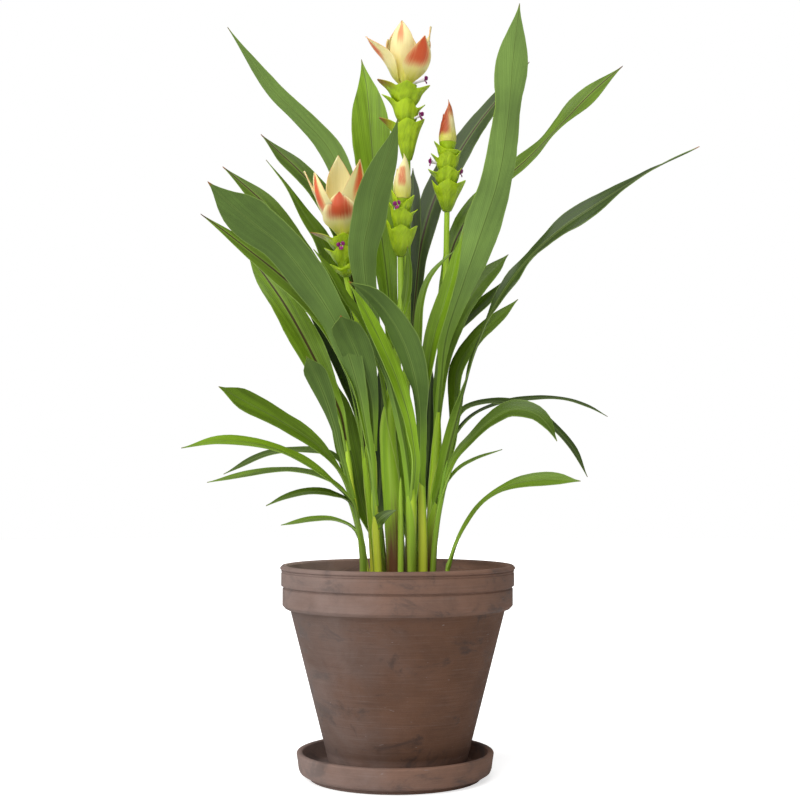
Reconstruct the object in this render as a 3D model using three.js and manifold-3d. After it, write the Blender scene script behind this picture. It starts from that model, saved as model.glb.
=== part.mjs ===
// A potted siam tulip: a clay pot on its saucer, filled with soil, and a clump of leafy stems with four
// blooms. Millimetres, +Z up. The origin is the middle of the saucer's underside, and the front looks
// towards -Y.
import * as THREE from "three";
import { mergeVertices } from "three/addons/utils/BufferGeometryUtils.js";
import Module from "manifold-3d";

const wasm = await Module();
wasm.setup();

// The clay ware. The pot stands a little off the middle of its saucer.
const ROUND_SIDES = 32;
const saucer = {
  footRadius: 62,
  footHeight: 3,
  wallFootRadius: 65.5,
  beltRadius: 69.6,
  beltHeight: 7.5,
  beltRound: 1.2,
  rimRadius: 71.1,
  height: 19.3,
  wall: 4.6,
  floor: 6.5,
  floorRadius: 60.5,
  floorRound: 2,
  roundOver: 1.3,
};
const pot = {
  across: 1.8,
  baseRadius: 48.8,
  baseRound: 1.4,
  shoulderRadius: 78,
  shoulderHeight: 121.5,
  wall: 5.5,
  floorThickness: 7,
  floorRound: 4,
  drainRadius: 10,
  lowerBandRadius: 83.4,
  bandRound: 2.6,
  grooveHeight: 136.9,
  grooveHalfWidth: 0.7,
  upperBandRadius: 84.4,
  lipRadius: 85.1,
  lipHeight: 149.2,
  lipStep: 0.4,
  height: 152.4,
  mouthRadius: 79.4,
  roundOver: 1.6,
};

// The soil fills the pot to edgeHeight at its edge and stands clear of the clay by gap. Its top is a mound
// with lumps. The stems stand in holes in it down to STEM_FOOT.
const soil = { gap: 0.3, edgeGap: 0.7, edgeHeight: 134, shoulder: 1, mound: 4, lump: 1.1, rings: 3 };
const STEM_FOOT = 114;
const STEM_CLEARANCE = 0.45;
const HOLE_SIDES = 8;
const HOLE_LENGTH = 60;

// The plant is laid out as an eye in front of it sees it. A point is [across, up, back]: across and up are
// read in the upright plane through the saucer's axis, and back is how far the point lies behind that plane.
const EYE = new THREE.Vector3(3.5, -1094, 218.6);

// Leaf blades.
const STALK_THICKNESS = 3;
const STALK_SHARE = 0.35;
const BLADE_THICKNESS = 1;
const TIP_HALF_WIDTH = 0.45;
const STATION_LENGTH = 32;
const FEWEST_STATIONS = 5;
const WAVE_LENGTH = 70;
const THICK_CANE = 3.2;

// Blooms. A bract starts BRACT_ROOT deep in what it grows from, and a crown clears its cups by BLOOM_GAP.
const BLOOM_GAP = 0.3;
const CUP_SIDES = 10;
const BRACT_THICKNESS = 0.9;
const BRACT_ROOT = 1.2;
const LIP_STEPS = 2;
const CROWN_STEPS = 4;
const BUD_BRACTS = 3;
const BUD_BRACT_SIDES = 4;
const BUD_ROLL = 0.2;
const FLORET_RADIUS = 1.7;
const FLORET_TUBE_RADIUS = 0.75;
const FLORET_LENGTH = 3.4;

const stemGreen = [0.3, 0.42, 0.12];
const yellowGreen = [0.46, 0.58, 0.1];
const leafGreen = [0.2, 0.36, 0.12];

// A leafy stem. cane: [across, up, back, radius] from its foot in the soil to its top, which carries a
// bloom where one is named. Each leaf starts inside the cane at the height from and follows way to its tip.
// widths are its real widths at equal shares of its length. turns say how its upper face is turned along
// it: 0 faces the viewer, 90 faces up and 180 faces away. fold is the slope of its channel, wave that of
// its edges, and a broad one has more strips across.
const stems = [
  {
    name: "stem_low_left",
    color: leafGreen,
    cane: [
      [-23, STEM_FOOT, -34, 2.4], [-23, 140, -34, 2.6], [-24, 165, -36, 2.4],
      [-28, 185, -38, 2.2], [-33, 207, -41, 1.9],
    ],
    leaves: [
      {
        name: "rounded",
        from: 200,
        way: [
          [-36, 220, -43], [-40, 234, -46], [-44, 252, -53], [-50, 271, -63], [-57, 288, -76],
          [-65, 304, -94],
        ],
        widths: [3.4, 3.4, 4, 4.5, 8, 12.5, 15, 14, 0],
        turns: [150, 160, 165],
        fold: 12,
        wave: 0.6,
      },
      {
        name: "low_broad",
        from: 185,
        way: [[-38, 215, -48], [-55, 237, -58], [-88, 259, -70], [-112, 272, -80], [-129, 282, -88]],
        widths: [3.4, 4, 6, 9, 14, 17.5, 20, 18.5, 0],
        turns: [60, 48, 42],
        fold: 14,
        wave: 0.8,
      },
      {
        name: "low_long",
        from: 170,
        way: [
          [-31, 196, -46], [-45, 211, -60], [-69, 228, -76], [-98, 239, -92], [-128, 242, -106],
          [-156, 237, -118],
        ],
        widths: [3.4, 4, 6, 9, 12, 13, 12, 9, 0],
        turns: [80, 70, 62, 60],
        fold: 16,
        wave: 0.5,
      },
      {
        name: "low_short",
        from: 165,
        way: [[-32, 196, -48], [-45, 203, -60], [-62, 205, -72], [-80, 201, -84], [-94, 195, -92]],
        widths: [3.2, 4, 5, 7, 8.5, 9, 8.5, 6, 0],
        turns: [80, 66, 60],
        fold: 14,
        wave: 0.4,
      },
    ],
  },
  {
    name: "stem_left",
    color: yellowGreen,
    cane: [
      [-20, STEM_FOOT, -12, 2.2], [-20, 140, -12, 2.4], [-24, 167, -12, 2.2],
      [-31, 207, -13, 2], [-36, 243, -13, 1.9],
    ],
    leaves: [
      {
        name: "bright_broad",
        from: 235,
        way: [
          [-40, 262, -12], [-48, 280, -11], [-59, 302, -9], [-70, 323, -5], [-81, 342, 0], [-94, 361, 7],
          [-109, 381, 16],
        ],
        widths: [3.4, 6, 12, 19, 23, 22, 19, 13.5, 0],
        turns: [25, 18, 15],
        fold: 10,
        wave: 0.8,
      },
      {
        name: "low_upper",
        from: 175,
        way: [[-33, 215, -4], [-45, 231, 4], [-69, 235, 16], [-95, 232, 30], [-125, 218, 46]],
        widths: [3.2, 4, 6, 8, 10, 10.5, 9.5, 7, 0],
        turns: [80, 66, 60],
        fold: 14,
        wave: 0.4,
      },
      {
        name: "low_middle",
        from: 165,
        way: [[-36, 203, 2], [-50, 214, 14], [-70, 220, 28], [-100, 219, 48], [-137, 212, 72]],
        widths: [3.2, 4, 6, 8, 10, 10.5, 9.5, 7, 0],
        turns: [80, 68, 62],
        fold: 14,
        wave: 0.4,
      },
      {
        name: "low_under",
        from: 155,
        way: [[-29, 177, -6], [-42, 184, 4], [-60, 185, 18], [-83, 181, 36]],
        widths: [3, 3.5, 5, 6.5, 8, 8, 7, 5, 0],
        turns: [80, 66, 60],
        fold: 14,
        wave: 0.3,
      },
    ],
  },
  {
    name: "stem_broad",
    color: stemGreen,
    cane: [
      [-12, STEM_FOOT, -28, 2.6], [-12, 140, -28, 2.8], [-14, 175, -29, 2.6],
      [-15, 205, -31, 2.4], [-16, 240, -33, 2.1],
    ],
    leaves: [
      {
        name: "front_broad",
        from: 235,
        way: [
          [-16, 255, -35], [-18, 275, -38], [-23, 293, -43], [-30, 311, -52], [-36, 324, -62],
          [-40, 334, -76],
        ],
        widths: [3.4, 5, 7.5, 11, 18, 23, 23, 19, 0],
        turns: [150, 165, 165],
        fold: 10,
        wave: 0.8,
      },
      {
        name: "left_broad",
        from: 195,
        way: [
          [-19, 240, -37], [-28, 285, -44], [-42, 325, -51], [-62, 358, -58],
          [-84, 386, -66], [-104, 402, -74], [-123, 418, -83], [-138, 433, -92],
        ],
        widths: [3.4, 4.5, 9, 16, 23, 27, 28.5, 30, 0],
        turns: [140, 155, 160],
        fold: 9,
        wave: 1.1,
        broad: true,
      },
      {
        name: "left_under",
        from: 175,
        way: [
          [-17, 225, -34], [-27, 280, -37], [-42, 318, -38], [-62, 343, -39],
          [-86, 365, -40], [-110, 384, -41], [-128, 398, -42], [-143, 409, -43],
        ],
        widths: [3.4, 4, 8, 13, 18, 19, 17, 11, 0],
        turns: [50, 35, 40],
        fold: 12,
        wave: 0.8,
      },
      {
        name: "torn",
        from: 178,
        way: [[-12, 184, -33], [-6, 189, -35], [1, 192, -36]],
        widths: [3, 6, 9, 8, 6, 3, 0],
        turns: [20, 20],
        fold: 8,
        wave: 0,
      },
    ],
  },
  {
    name: "stem_left_bloom",
    color: yellowGreen,
    cane: [
      [-15, STEM_FOOT, 0, 2.7], [-15, 140, 0, 2.9], [-17, 177, 0, 2.7], [-20, 210, 0, 2.6],
      [-22, 240, 0, 2.4], [-21, 280, 0, 2.2], [-24, 316, 1, 2.2], [-31, 340, 2, 2.1], [-36, 362, 3, 2],
    ],
    leaves: [
      {
        name: "light_strip",
        from: 230,
        way: [[-29, 265, -1], [-36, 296, -1], [-45, 316, 0], [-57, 331, 2], [-72, 345, 5]],
        widths: [3.4, 4, 6, 9, 12, 14, 14, 11, 0],
        turns: [60, 66, 60],
        fold: 14,
        wave: 0.5,
      },
      {
        name: "dark_behind",
        from: 215,
        way: [[-26, 260, 7], [-35, 290, 11], [-47, 316, 15], [-58, 340, 20], [-68, 364, 26]],
        widths: [3.4, 4.5, 8, 13, 17, 18, 17, 13, 0],
        turns: [30, 30],
        fold: 10,
        wave: 0.6,
      },
      {
        name: "brown_tipped",
        from: 225,
        way: [
          [-30, 290, -8], [-46, 335, -15], [-62, 366, -19], [-78, 391, -20], [-95, 415, -18],
          [-112, 431, -14], [-127, 444, -8],
        ],
        widths: [3.4, 4, 8, 13, 17, 20, 20, 13, 0],
        turns: [40, 30, 40],
        fold: 12,
        wave: 0.8,
      },
    ],
  },
  {
    name: "stem_centre",
    color: stemGreen,
    cane: [
      [1, STEM_FOOT, -10, 6.7], [1, 140, -10, 6.9], [-1, 185, -10, 6.8], [-4, 228, -10, 6.5],
      [-5, 250, -11, 5.6], [-3, 276, -11, 4.2], [1, 305, -12, 3], [4, 338, -13, 2.4], [4, 377, -14, 2.2],
    ],
    leaves: [
      {
        name: "thin_edge",
        from: 255,
        way: [[-12, 295, -20], [-24, 330, -22], [-36, 346, -24], [-47, 366, -25], [-60, 383, -26]],
        widths: [3.2, 4, 6, 9, 11, 12, 11, 8, 0],
        turns: [60, 60],
        fold: 12,
        wave: 0.4,
      },
      {
        name: "sheath",
        from: 326,
        way: [[8, 346, -16], [10, 366, -18], [9, 385, -20]],
        widths: [3, 7, 8, 7, 5, 0],
        turns: [30, 30],
        fold: 14,
        wave: 0,
      },
    ],
  },
  {
    name: "stem_top_bloom",
    color: stemGreen,
    cane: [
      [10, STEM_FOOT, 10, 3.3], [10, 140, 10, 3.5], [11, 190, 10, 3.4], [10, 236, 9, 3.1],
      [8, 287, 8, 2.8], [9, 338, 7, 2.6], [9, 397, 6, 2.4], [9, 448, 5, 2.2],
    ],
    leaves: [
      {
        name: "dark_centre",
        from: 280,
        way: [[9, 330, 14], [10, 370, 20], [12, 405, 24], [13, 425, 27], [13, 443, 30]],
        widths: [3.4, 4.5, 7, 11, 14, 16, 16, 12, 0],
        turns: [20, 20],
        fold: 10,
        wave: 0.5,
      },
    ],
  },
  {
    name: "stem_front",
    color: stemGreen,
    cane: [
      [12, STEM_FOOT, -30, 2.7], [12, 140, -30, 2.9], [12, 170, -30, 3.4], [12, 199, -31, 3.6],
      [12, 222, -32, 2.6],
    ],
    leaves: [
      {
        name: "front_tall",
        from: 190,
        way: [
          [8, 228, -36], [3, 257, -36], [-4, 285, -35], [-10, 300, -34], [-17, 332, -37], [-22, 362, -42],
          [-23, 384, -47], [-19, 405, -52], [-15, 425, -58], [-8, 446, -66], [-2, 463, -73], [2, 480, -82],
        ],
        widths: [4, 5.5, 6, 6, 12, 20, 25.5, 19.5, 0],
        turns: [150, 160, 160],
        fold: 9,
        wave: 0.8,
        broad: true,
      },
      {
        name: "front_strip",
        from: 195,
        way: [
          [14.5, 228, -42], [12.5, 243, -43], [10, 258, -44], [6, 272, -45], [0, 290, -47], [-10, 313, -51],
          [-22, 337, -55], [-33, 357, -60],
        ],
        widths: [4.5, 7, 8, 9, 11.5, 13, 12, 9, 0],
        turns: [40, 30, 40],
        fold: 12,
        wave: 0.5,
      },
    ],
  },
  {
    name: "stem_bright",
    color: yellowGreen,
    cane: [
      [20, STEM_FOOT, -22, 3.2], [20, 140, -22, 3.4], [20, 170, -22, 3.2], [19.5, 199, -22, 2.8],
      [18.5, 228, -24, 2.3], [18, 250, -26, 2],
    ],
    leaves: [
      {
        name: "front_folded",
        from: 205,
        way: [
          [18.5, 232, -30], [18, 262, -36], [14, 290, -55], [6, 315, -62], [-6, 336, -67], [-20, 351, -72],
          [-34, 359, -78],
        ],
        widths: [3.6, 7, 9, 14, 20, 24, 23, 17, 0],
        turns: [130, 138, 132],
        fold: 14,
        wave: 0.8,
      },
      {
        name: "young_rolled",
        from: 215,
        way: [
          [20, 250, -26], [24, 294, -28], [29, 320, -31], [36, 343, -35], [42, 363, -38], [46, 380, -40],
          [50, 396, -42],
        ],
        widths: [3.4, 5, 8, 11, 14, 15, 13, 9, 0],
        turns: [20, 20, 30],
        fold: 38,
        wave: 0.3,
      },
      {
        name: "young_thin",
        from: 215,
        way: [
          [19, 280, -29], [18, 320, -32], [20, 346, -34], [26, 363, -35], [38, 377, -36], [45, 383, -36],
        ],
        widths: [3.2, 4, 5, 7, 8, 9, 8, 5, 0],
        turns: [50, 50],
        fold: 25,
        wave: 0.2,
      },
    ],
  },
  {
    name: "stem_right",
    color: stemGreen,
    cane: [
      [25, STEM_FOOT, -4, 4.2], [25, 140, -4, 4.4], [27.5, 199, -4, 5.2], [30, 236, -4, 5.4],
      [31, 262, -4, 4.5], [32, 285, 0, 2.8], [34, 320, 5, 2.4], [37, 365, 8, 2.2], [38, 410, 8, 2],
    ],
    leaves: [
      {
        name: "tallest",
        from: 255,
        way: [
          [33, 285, -9], [37, 318, -12], [50, 358, -16], [64, 398, -22], [76, 436, -29], [83, 480, -38],
          [87, 525, -49], [92, 566, -60],
        ],
        widths: [3.4, 5, 13, 24, 28, 26, 24, 24, 0],
        turns: [160, 160, 160, 160, 158, 148, 140, 158, 162],
        fold: 9,
        wave: 1,
        broad: true,
      },
      {
        name: "long_arching",
        from: 188,
        way: [
          [34, 214, -13], [38, 234, -16], [44, 257, -17], [51, 282, -18], [58, 306, -20], [73, 340, -24],
          [94, 371, -29], [121, 397, -34], [153, 419, -40], [188, 441, -48], [224, 459, -57],
        ],
        widths: [5, 9.5, 8, 7.5, 11.5, 15.5, 17.5, 12.5, 0],
        turns: [165, 155, 125, 70, 60, 55, 46, 80, 120],
        fold: 12,
        wave: 1.2,
      },
      {
        name: "right_upper",
        from: 245,
        way: [
          [33, 300, 10], [36, 345, 20], [43, 385, 28], [58, 412, 36], [78, 432, 45], [101, 453, 55],
          [124, 477, 67], [146, 500, 80], [168, 519, 92],
        ],
        widths: [3.4, 5, 9, 14, 18, 21, 22, 20, 0],
        turns: [50, 50, 50, 45, 39, 60, 72, 46, 40],
        fold: 12,
        wave: 0.8,
      },
      {
        name: "right_middle",
        from: 240,
        way: [[34, 290, 2], [40, 315, 8], [50, 340, 15], [62, 357, 22], [74, 370, 29], [83, 379, 35]],
        widths: [3.4, 6, 10, 14, 17, 17.5, 17, 14.5, 0],
        turns: [35, 35],
        fold: 12,
        wave: 0.6,
      },
      {
        name: "right_narrow",
        from: 250,
        way: [[33, 290, 8], [41, 318, 15], [55, 334, 22], [69, 347, 29], [80, 360, 36]],
        widths: [3.4, 5, 8, 11, 13, 13.5, 13, 11, 0],
        turns: [50, 50],
        fold: 14,
        wave: 0.4,
      },
      {
        name: "right_short",
        from: 195,
        way: [[42, 240, -9], [44, 270, 0], [46, 295, 8], [58, 315, 12], [74, 331, 18], [90, 346, 25]],
        widths: [3.4, 5, 8, 11, 14, 16, 17, 14, 0],
        turns: [50, 50],
        fold: 12,
        wave: 0.5,
      },
      {
        name: "low_drooping",
        from: 222,
        way: [
          [42, 252, -11], [50, 265, -5], [64, 270, 3], [82, 270, 12], [100, 264, 22], [116, 252, 31],
          [130, 236, 39], [140, 216, 45],
        ],
        widths: [3.2, 4, 6, 8, 9, 9.5, 9, 7, 0],
        turns: [60, 55, 50],
        fold: 14,
        wave: 0.4,
      },
      {
        name: "low_arch",
        from: 218,
        way: [
          [44, 247, -6], [57, 261, 5], [75, 269, 17], [98, 273, 31], [122, 273, 45], [142, 267, 57],
          [155, 260, 65],
        ],
        widths: [3.2, 3.5, 5, 6, 6.5, 6, 5, 4, 0],
        turns: [70, 65, 60],
        fold: 14,
        wave: 0.3,
      },
      {
        name: "low_thin",
        from: 195,
        way: [[44, 220, -10], [58, 229, -3], [78, 236, 5]],
        widths: [3, 3.5, 4.5, 4.5, 3, 0],
        turns: [60, 60],
        fold: 14,
        wave: 0,
      },
    ],
  },
  {
    name: "stem_back",
    color: leafGreen,
    cane: [
      [15, STEM_FOOT, 30, 3.4], [15, 140, 30, 3.6], [14, 160, 30, 3.6], [6, 205, 30, 3.4], [5, 250, 29, 2.8],
    ],
    leaves: [
      {
        name: "upright_bright",
        from: 155,
        way: [
          [4, 200, 26], [1, 245, 25], [-1, 300, 27], [-6, 360, 31], [-13, 415, 37], [-17, 455, 44],
          [-19, 480, 50], [-21, 502, 56], [-25, 524, 63],
        ],
        widths: [3.4, 9, 12, 10, 13, 22, 28, 28, 0],
        turns: [15, 10],
        fold: 10,
        wave: 1,
        broad: true,
      },
      {
        name: "dark_tall",
        from: 230,
        way: [
          [10, 300, 34], [15, 350, 39], [19, 385, 45], [29, 420, 53], [44, 449, 62], [60, 474, 73],
          [79, 498, 85], [99, 522, 98],
        ],
        widths: [3.4, 5, 9, 15, 21, 24, 20, 13, 0],
        turns: [30, 35, 40],
        fold: 12,
        wave: 0.8,
      },
      {
        name: "shaded",
        from: 150,
        way: [[17, 185, 24], [22, 215, 23], [24.5, 245, 24], [25.5, 275, 26], [26, 302, 30]],
        widths: [4, 7, 10, 12, 12, 12, 10, 7, 0],
        turns: [20, 20],
        fold: 10,
        wave: 0.3,
      },
    ],
  },
  {
    name: "stem_back_left",
    color: leafGreen,
    cane: [[-9, STEM_FOOT, 26, 3.2], [-9, 145, 26, 3.4], [-11, 180, 27, 3], [-20, 230, 28, 2.6]],
    leaves: [
      {
        name: "long_grey",
        from: 220,
        way: [
          [-23, 300, 33], [-27, 360, 38], [-35, 420, 40], [-48, 456, 39], [-68, 479, 35], [-90, 501, 29],
          [-110, 528, 20], [-124, 548, 12],
        ],
        widths: [3.4, 4, 7, 13, 18, 20.5, 17.5, 12, 0],
        turns: [140, 146, 146],
        fold: 10,
        wave: 0.7,
      },
      {
        name: "maroon_rib",
        from: 210,
        way: [
          [-24, 290, 32], [-30, 350, 35], [-40, 395, 41], [-55, 423, 49], [-72, 442, 59], [-86, 455, 69],
          [-99, 468, 79],
        ],
        widths: [3.4, 4, 7, 12, 17, 20, 20, 16, 0],
        turns: [40, 40],
        fold: 12,
        wave: 0.6,
      },
      {
        name: "thin_tipped",
        from: 215,
        way: [
          [-30, 300, 33], [-42, 352, 38], [-54, 389, 45], [-67, 409, 52], [-80, 430, 60], [-95, 449, 68],
        ],
        widths: [3.4, 4, 8, 13, 17, 18, 13, 5, 0],
        turns: [30, 30, 50],
        fold: 12,
        wave: 0.5,
      },
      {
        name: "shaded_left",
        from: 150,
        way: [[-13, 185, 20], [-10.5, 215, 17], [-9.5, 245, 17], [-9.5, 275, 19], [-11, 303, 22]],
        widths: [4, 7, 10, 12, 12, 12, 11, 8, 0],
        turns: [20, 20],
        fold: 10,
        wave: 0.3,
      },
      {
        name: "dark_low",
        from: 160,
        way: [[-24, 196, 24], [-30, 225, 21], [-36, 248, 21], [-40, 265, 25], [-43, 285, 32]],
        widths: [3.4, 6, 12, 18, 22, 23, 20, 14, 0],
        turns: [20, 15],
        fold: 10,
        wave: 0.6,
      },
    ],
  },
  {
    name: "stem_low_right",
    color: leafGreen,
    cane: [
      [27, STEM_FOOT, -22, 1.9], [27, 140, -22, 2], [29, 170, -22, 2], [33, 200, -22, 2],
      [38, 228, -22, 1.9],
    ],
    leaves: [
      {
        name: "low_bright",
        from: 200,
        way: [
          [44, 230, -27], [56, 244, -32], [70, 257, -38], [86, 265, -47], [102, 262, -56], [111, 254, -62],
          [118, 242, -66],
        ],
        widths: [3.4, 4, 6, 9, 14, 17, 16, 11, 0],
        turns: [50, 45],
        fold: 12,
        wave: 0.7,
      },
    ],
  },
  {
    name: "stem_low_curved",
    color: leafGreen,
    cane: [[37, STEM_FOOT, -24, 1.7], [37, 140, -24, 1.8], [39, 156, -25, 1.5]],
    leaves: [
      {
        name: "low_curved",
        from: 150,
        way: [
          [43.5, 166, -27], [51, 181, -31], [60, 194, -39], [72, 204, -47], [88, 211, -57], [110, 214, -69],
          [135, 213, -82],
        ],
        widths: [3.2, 3.4, 4, 5, 7, 10, 12.5, 11.5, 0],
        turns: [70, 52, 45],
        fold: 12,
        wave: 0.5,
      },
    ],
  },
  {
    name: "stem_spear",
    color: yellowGreen,
    cane: [
      [4, STEM_FOOT, -29, 1.9], [4, 140, -29, 2.1], [4, 185, -29, 1.9], [4, 205, -29, 1.3],
      [4, 216, -30, 0.5],
    ],
    leaves: [],
  },
];

// A bloom stands on the end of its stem's cane and leans towards top. cups: the [radius, height] outline of
// its green cups, stacked in one another. lips are the cups' spreading bract ends and crown the pale bracts
// over them: [azimuth, height it grows from, belly radius, tip radius, rise to its tip, width]. A bloom that
// is still closed has a bud of [radius, height] in its crown's place. A floret is [azimuth, height, radius].
const blooms = [
  {
    name: "bloom_top",
    stem: "stem_top_bloom",
    top: [6.4, 554, 5],
    cups: [
      [2.4, 0], [4.7, 8], [7, 18], [7.8, 27], [5.4, 29], [6.6, 38], [7.4, 44], [6, 46], [7.8, 51],
      [8.4, 56],
    ],
    lips: [
      [-20, 19, 9.5, 14, 11, 16], [-166, 17, 12, 21, 15, 16], [-88, 20, 9, 10.5, 10, 14],
      [84, 20, 9, 11, 11, 16], [-174, 35, 11, 18, 15, 14], [5, 31, 9.5, 14.5, 11, 12],
      [-90, 36, 8.8, 10, 9, 14], [88, 34, 8.8, 10.5, 11, 14], [-160, 46, 13.5, 22.5, 14, 19],
      [-12, 44, 12.5, 18.5, 11, 18], [-86, 47, 11.5, 14, 10, 17], [84, 46, 11.5, 15, 12, 18],
    ],
    crown: [
      [-160, 57, 17, 30, 34, 19], [-106, 57, 11, 5, 47, 22], [-48, 57, 20, 22, 32, 25],
      [4, 57, 17, 20, 44, 20], [34, 57, 18, 22, 40, 18], [80, 57, 13, 9, 45, 20], [125, 57, 13, 11, 45, 20],
      [160, 57, 14, 13, 36, 18],
    ],
    florets: [[-22, 58, 15], [-35, 31, 12]],
  },
  {
    name: "bloom_left",
    stem: "stem_left_bloom",
    top: [-41.5, 453, 3],
    cups: [[2.2, 0], [5, 4], [7.6, 9], [8, 13], [6.4, 14.5], [8.6, 20], [9, 24], [7, 25.5], [8, 30]],
    lips: [
      [-176, 3, 10, 14.5, 8, 13], [-30, 3, 9, 11, 9, 14], [80, 4, 9, 10, 8, 14], [-172, 12, 11, 15, 10, 15],
      [-4, 13, 10, 13, 9, 15], [-92, 14, 10, 11, 9, 15], [84, 13, 10, 11, 9, 15],
      [-168, 22, 13.5, 24.5, 12, 18], [-8, 22, 12, 18, 11, 17], [-88, 21, 11.5, 13.5, 10, 17],
      [84, 21, 11.5, 14.5, 10, 18],
    ],
    crown: [
      [176, 31, 19, 26.5, 50, 17], [-150, 31, 19, 21, 46, 21], [-94, 31, 17, 15, 30, 30],
      [-42, 31, 17, 21, 53, 23], [-5, 31, 20, 26, 54, 19], [48, 31, 17, 18, 50, 21],
      [98, 31, 12, 6, 61, 25], [142, 31, 18, 20, 42, 20],
    ],
    florets: [[-100, 21, 10.5]],
  },
  {
    name: "bloom_middle",
    stem: "stem_centre",
    top: [6, 453, -15],
    cups: [[2.4, 0], [5.2, 6], [7.8, 13], [9, 21], [6, 23], [6.6, 30], [7, 34], [5.2, 36], [5.6, 42]],
    lips: [
      [-10, 14, 9.8, 11.5, 9, 13], [172, 16, 10, 12, 13, 13], [-92, 14, 9.8, 10.8, 8, 12],
      [86, 14, 9.8, 10.8, 9, 12], [2, 26, 8.2, 11.5, 9, 11], [182, 29, 8.6, 12.6, 13, 11],
      [-92, 27, 8, 9, 8, 11], [88, 27, 8, 9, 9, 11], [176, 37, 7.6, 8.8, 14, 10],
      [-12, 36, 7.4, 8.8, 9, 10],
    ],
    bud: [[5.2, 0], [5.8, 8], [5.4, 15], [3.8, 24], [1.8, 30], [0, 33]],
    florets: [[-118, 36, 6.5]],
  },
  {
    name: "bloom_right",
    stem: "stem_right",
    top: [39, 495, 8],
    cups: [
      [2.2, 0], [5.2, 7], [8.2, 15], [9.2, 22], [6.6, 24], [7.2, 30], [7.6, 34], [6, 36], [7, 43],
      [7.2, 46], [5.6, 47], [6.4, 52],
    ],
    lips: [
      [-18, 14, 10.4, 14, 9, 14], [176, 13, 10, 11.4, 11, 13], [-88, 14, 10, 11, 9, 13],
      [78, 14, 10, 11, 9, 13], [184, 22, 9.4, 14.4, 10, 12], [-4, 24, 8.8, 10.4, 9, 11],
      [-92, 25, 8.6, 9.6, 8, 11], [88, 24, 8.6, 9.6, 9, 11], [178, 34, 9, 12.4, 10, 11],
      [-6, 35, 8.4, 9.6, 11, 11], [-92, 35, 8.2, 9.2, 9, 11], [88, 35, 8.2, 9.2, 9, 11],
      [182, 44, 7.8, 10, 9, 10],
    ],
    bud: [[5.6, 0], [5.9, 4], [5, 11], [4.1, 17], [2.6, 25], [0, 32]],
    florets: [[-165, 36, 12], [-16, 28, 9.5]],
  },
];
function matter(red, green, blue, roughness) {
  return new THREE.MeshStandardMaterial({ color: new THREE.Color(red, green, blue), roughness, metalness: 0 });
}

const clay = matter(0.19, 0.12, 0.1, 0.85);
const earth = matter(0.05, 0.035, 0.025, 0.95);
const greenBract = matter(0.4, 0.55, 0.05, 0.55);
const paleBract = matter(0.85, 0.78, 0.45, 0.5);

function solidOf(geometry) {
  const bare = geometry.clone();
  bare.deleteAttribute("normal");
  bare.deleteAttribute("uv");
  const merged = mergeVertices(bare, 1e-4);
  const mesh = new wasm.Mesh({
    numProp: 3,
    vertProperties: merged.attributes.position.array,
    triVerts: new Uint32Array(merged.index.array),
  });
  return new wasm.Manifold(mesh);
}

function geometryOf(solid) {
  const mesh = solid.getMesh();
  const geometry = new THREE.BufferGeometry();
  geometry.setAttribute("position", new THREE.BufferAttribute(mesh.vertProperties, 3));
  geometry.setIndex(new THREE.BufferAttribute(mesh.triVerts, 1));
  geometry.computeVertexNormals();
  return geometry;
}

// One body: a hollow that the fusing seals is filled, and a scrap that it cuts loose is dropped.
function fuse(geometries) {
  const whole = geometries.map(solidOf).reduce((sum, piece) => sum.add(piece));
  return whole.decompose().reduce((most, piece) => (piece.volume() > most.volume() ? piece : most));
}

function lathe(profile, sides = ROUND_SIDES) {
  const points = profile.map(([radius, height]) => new THREE.Vector2(radius, height));
  return new THREE.LatheGeometry(points, sides).rotateX(Math.PI / 2);
}

// Where a point of the layout really is: on the line from the eye through its place in the upright plane.
function seen([across, up, back]) {
  const share = (back - EYE.y) / -EYE.y;
  return new THREE.Vector3(across, 0, up).sub(EYE).multiplyScalar(share).add(EYE);
}

// A smooth curve through values at equal shares, and its value at one share.
function smooth(values, share) {
  const place = share * (values.length - 1);
  const step = Math.min(Math.floor(place), values.length - 2);
  const t = place - step;
  const last = values.length - 1;
  const [a, b, c, d] = [-1, 0, 1, 2].map((k) => values[THREE.MathUtils.clamp(step + k, 0, last)]);
  return b + 0.5 * t * (c - a + t * (2 * a - 5 * b + 4 * c - d + t * (3 * (b - c) + d - a)));
}

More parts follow.
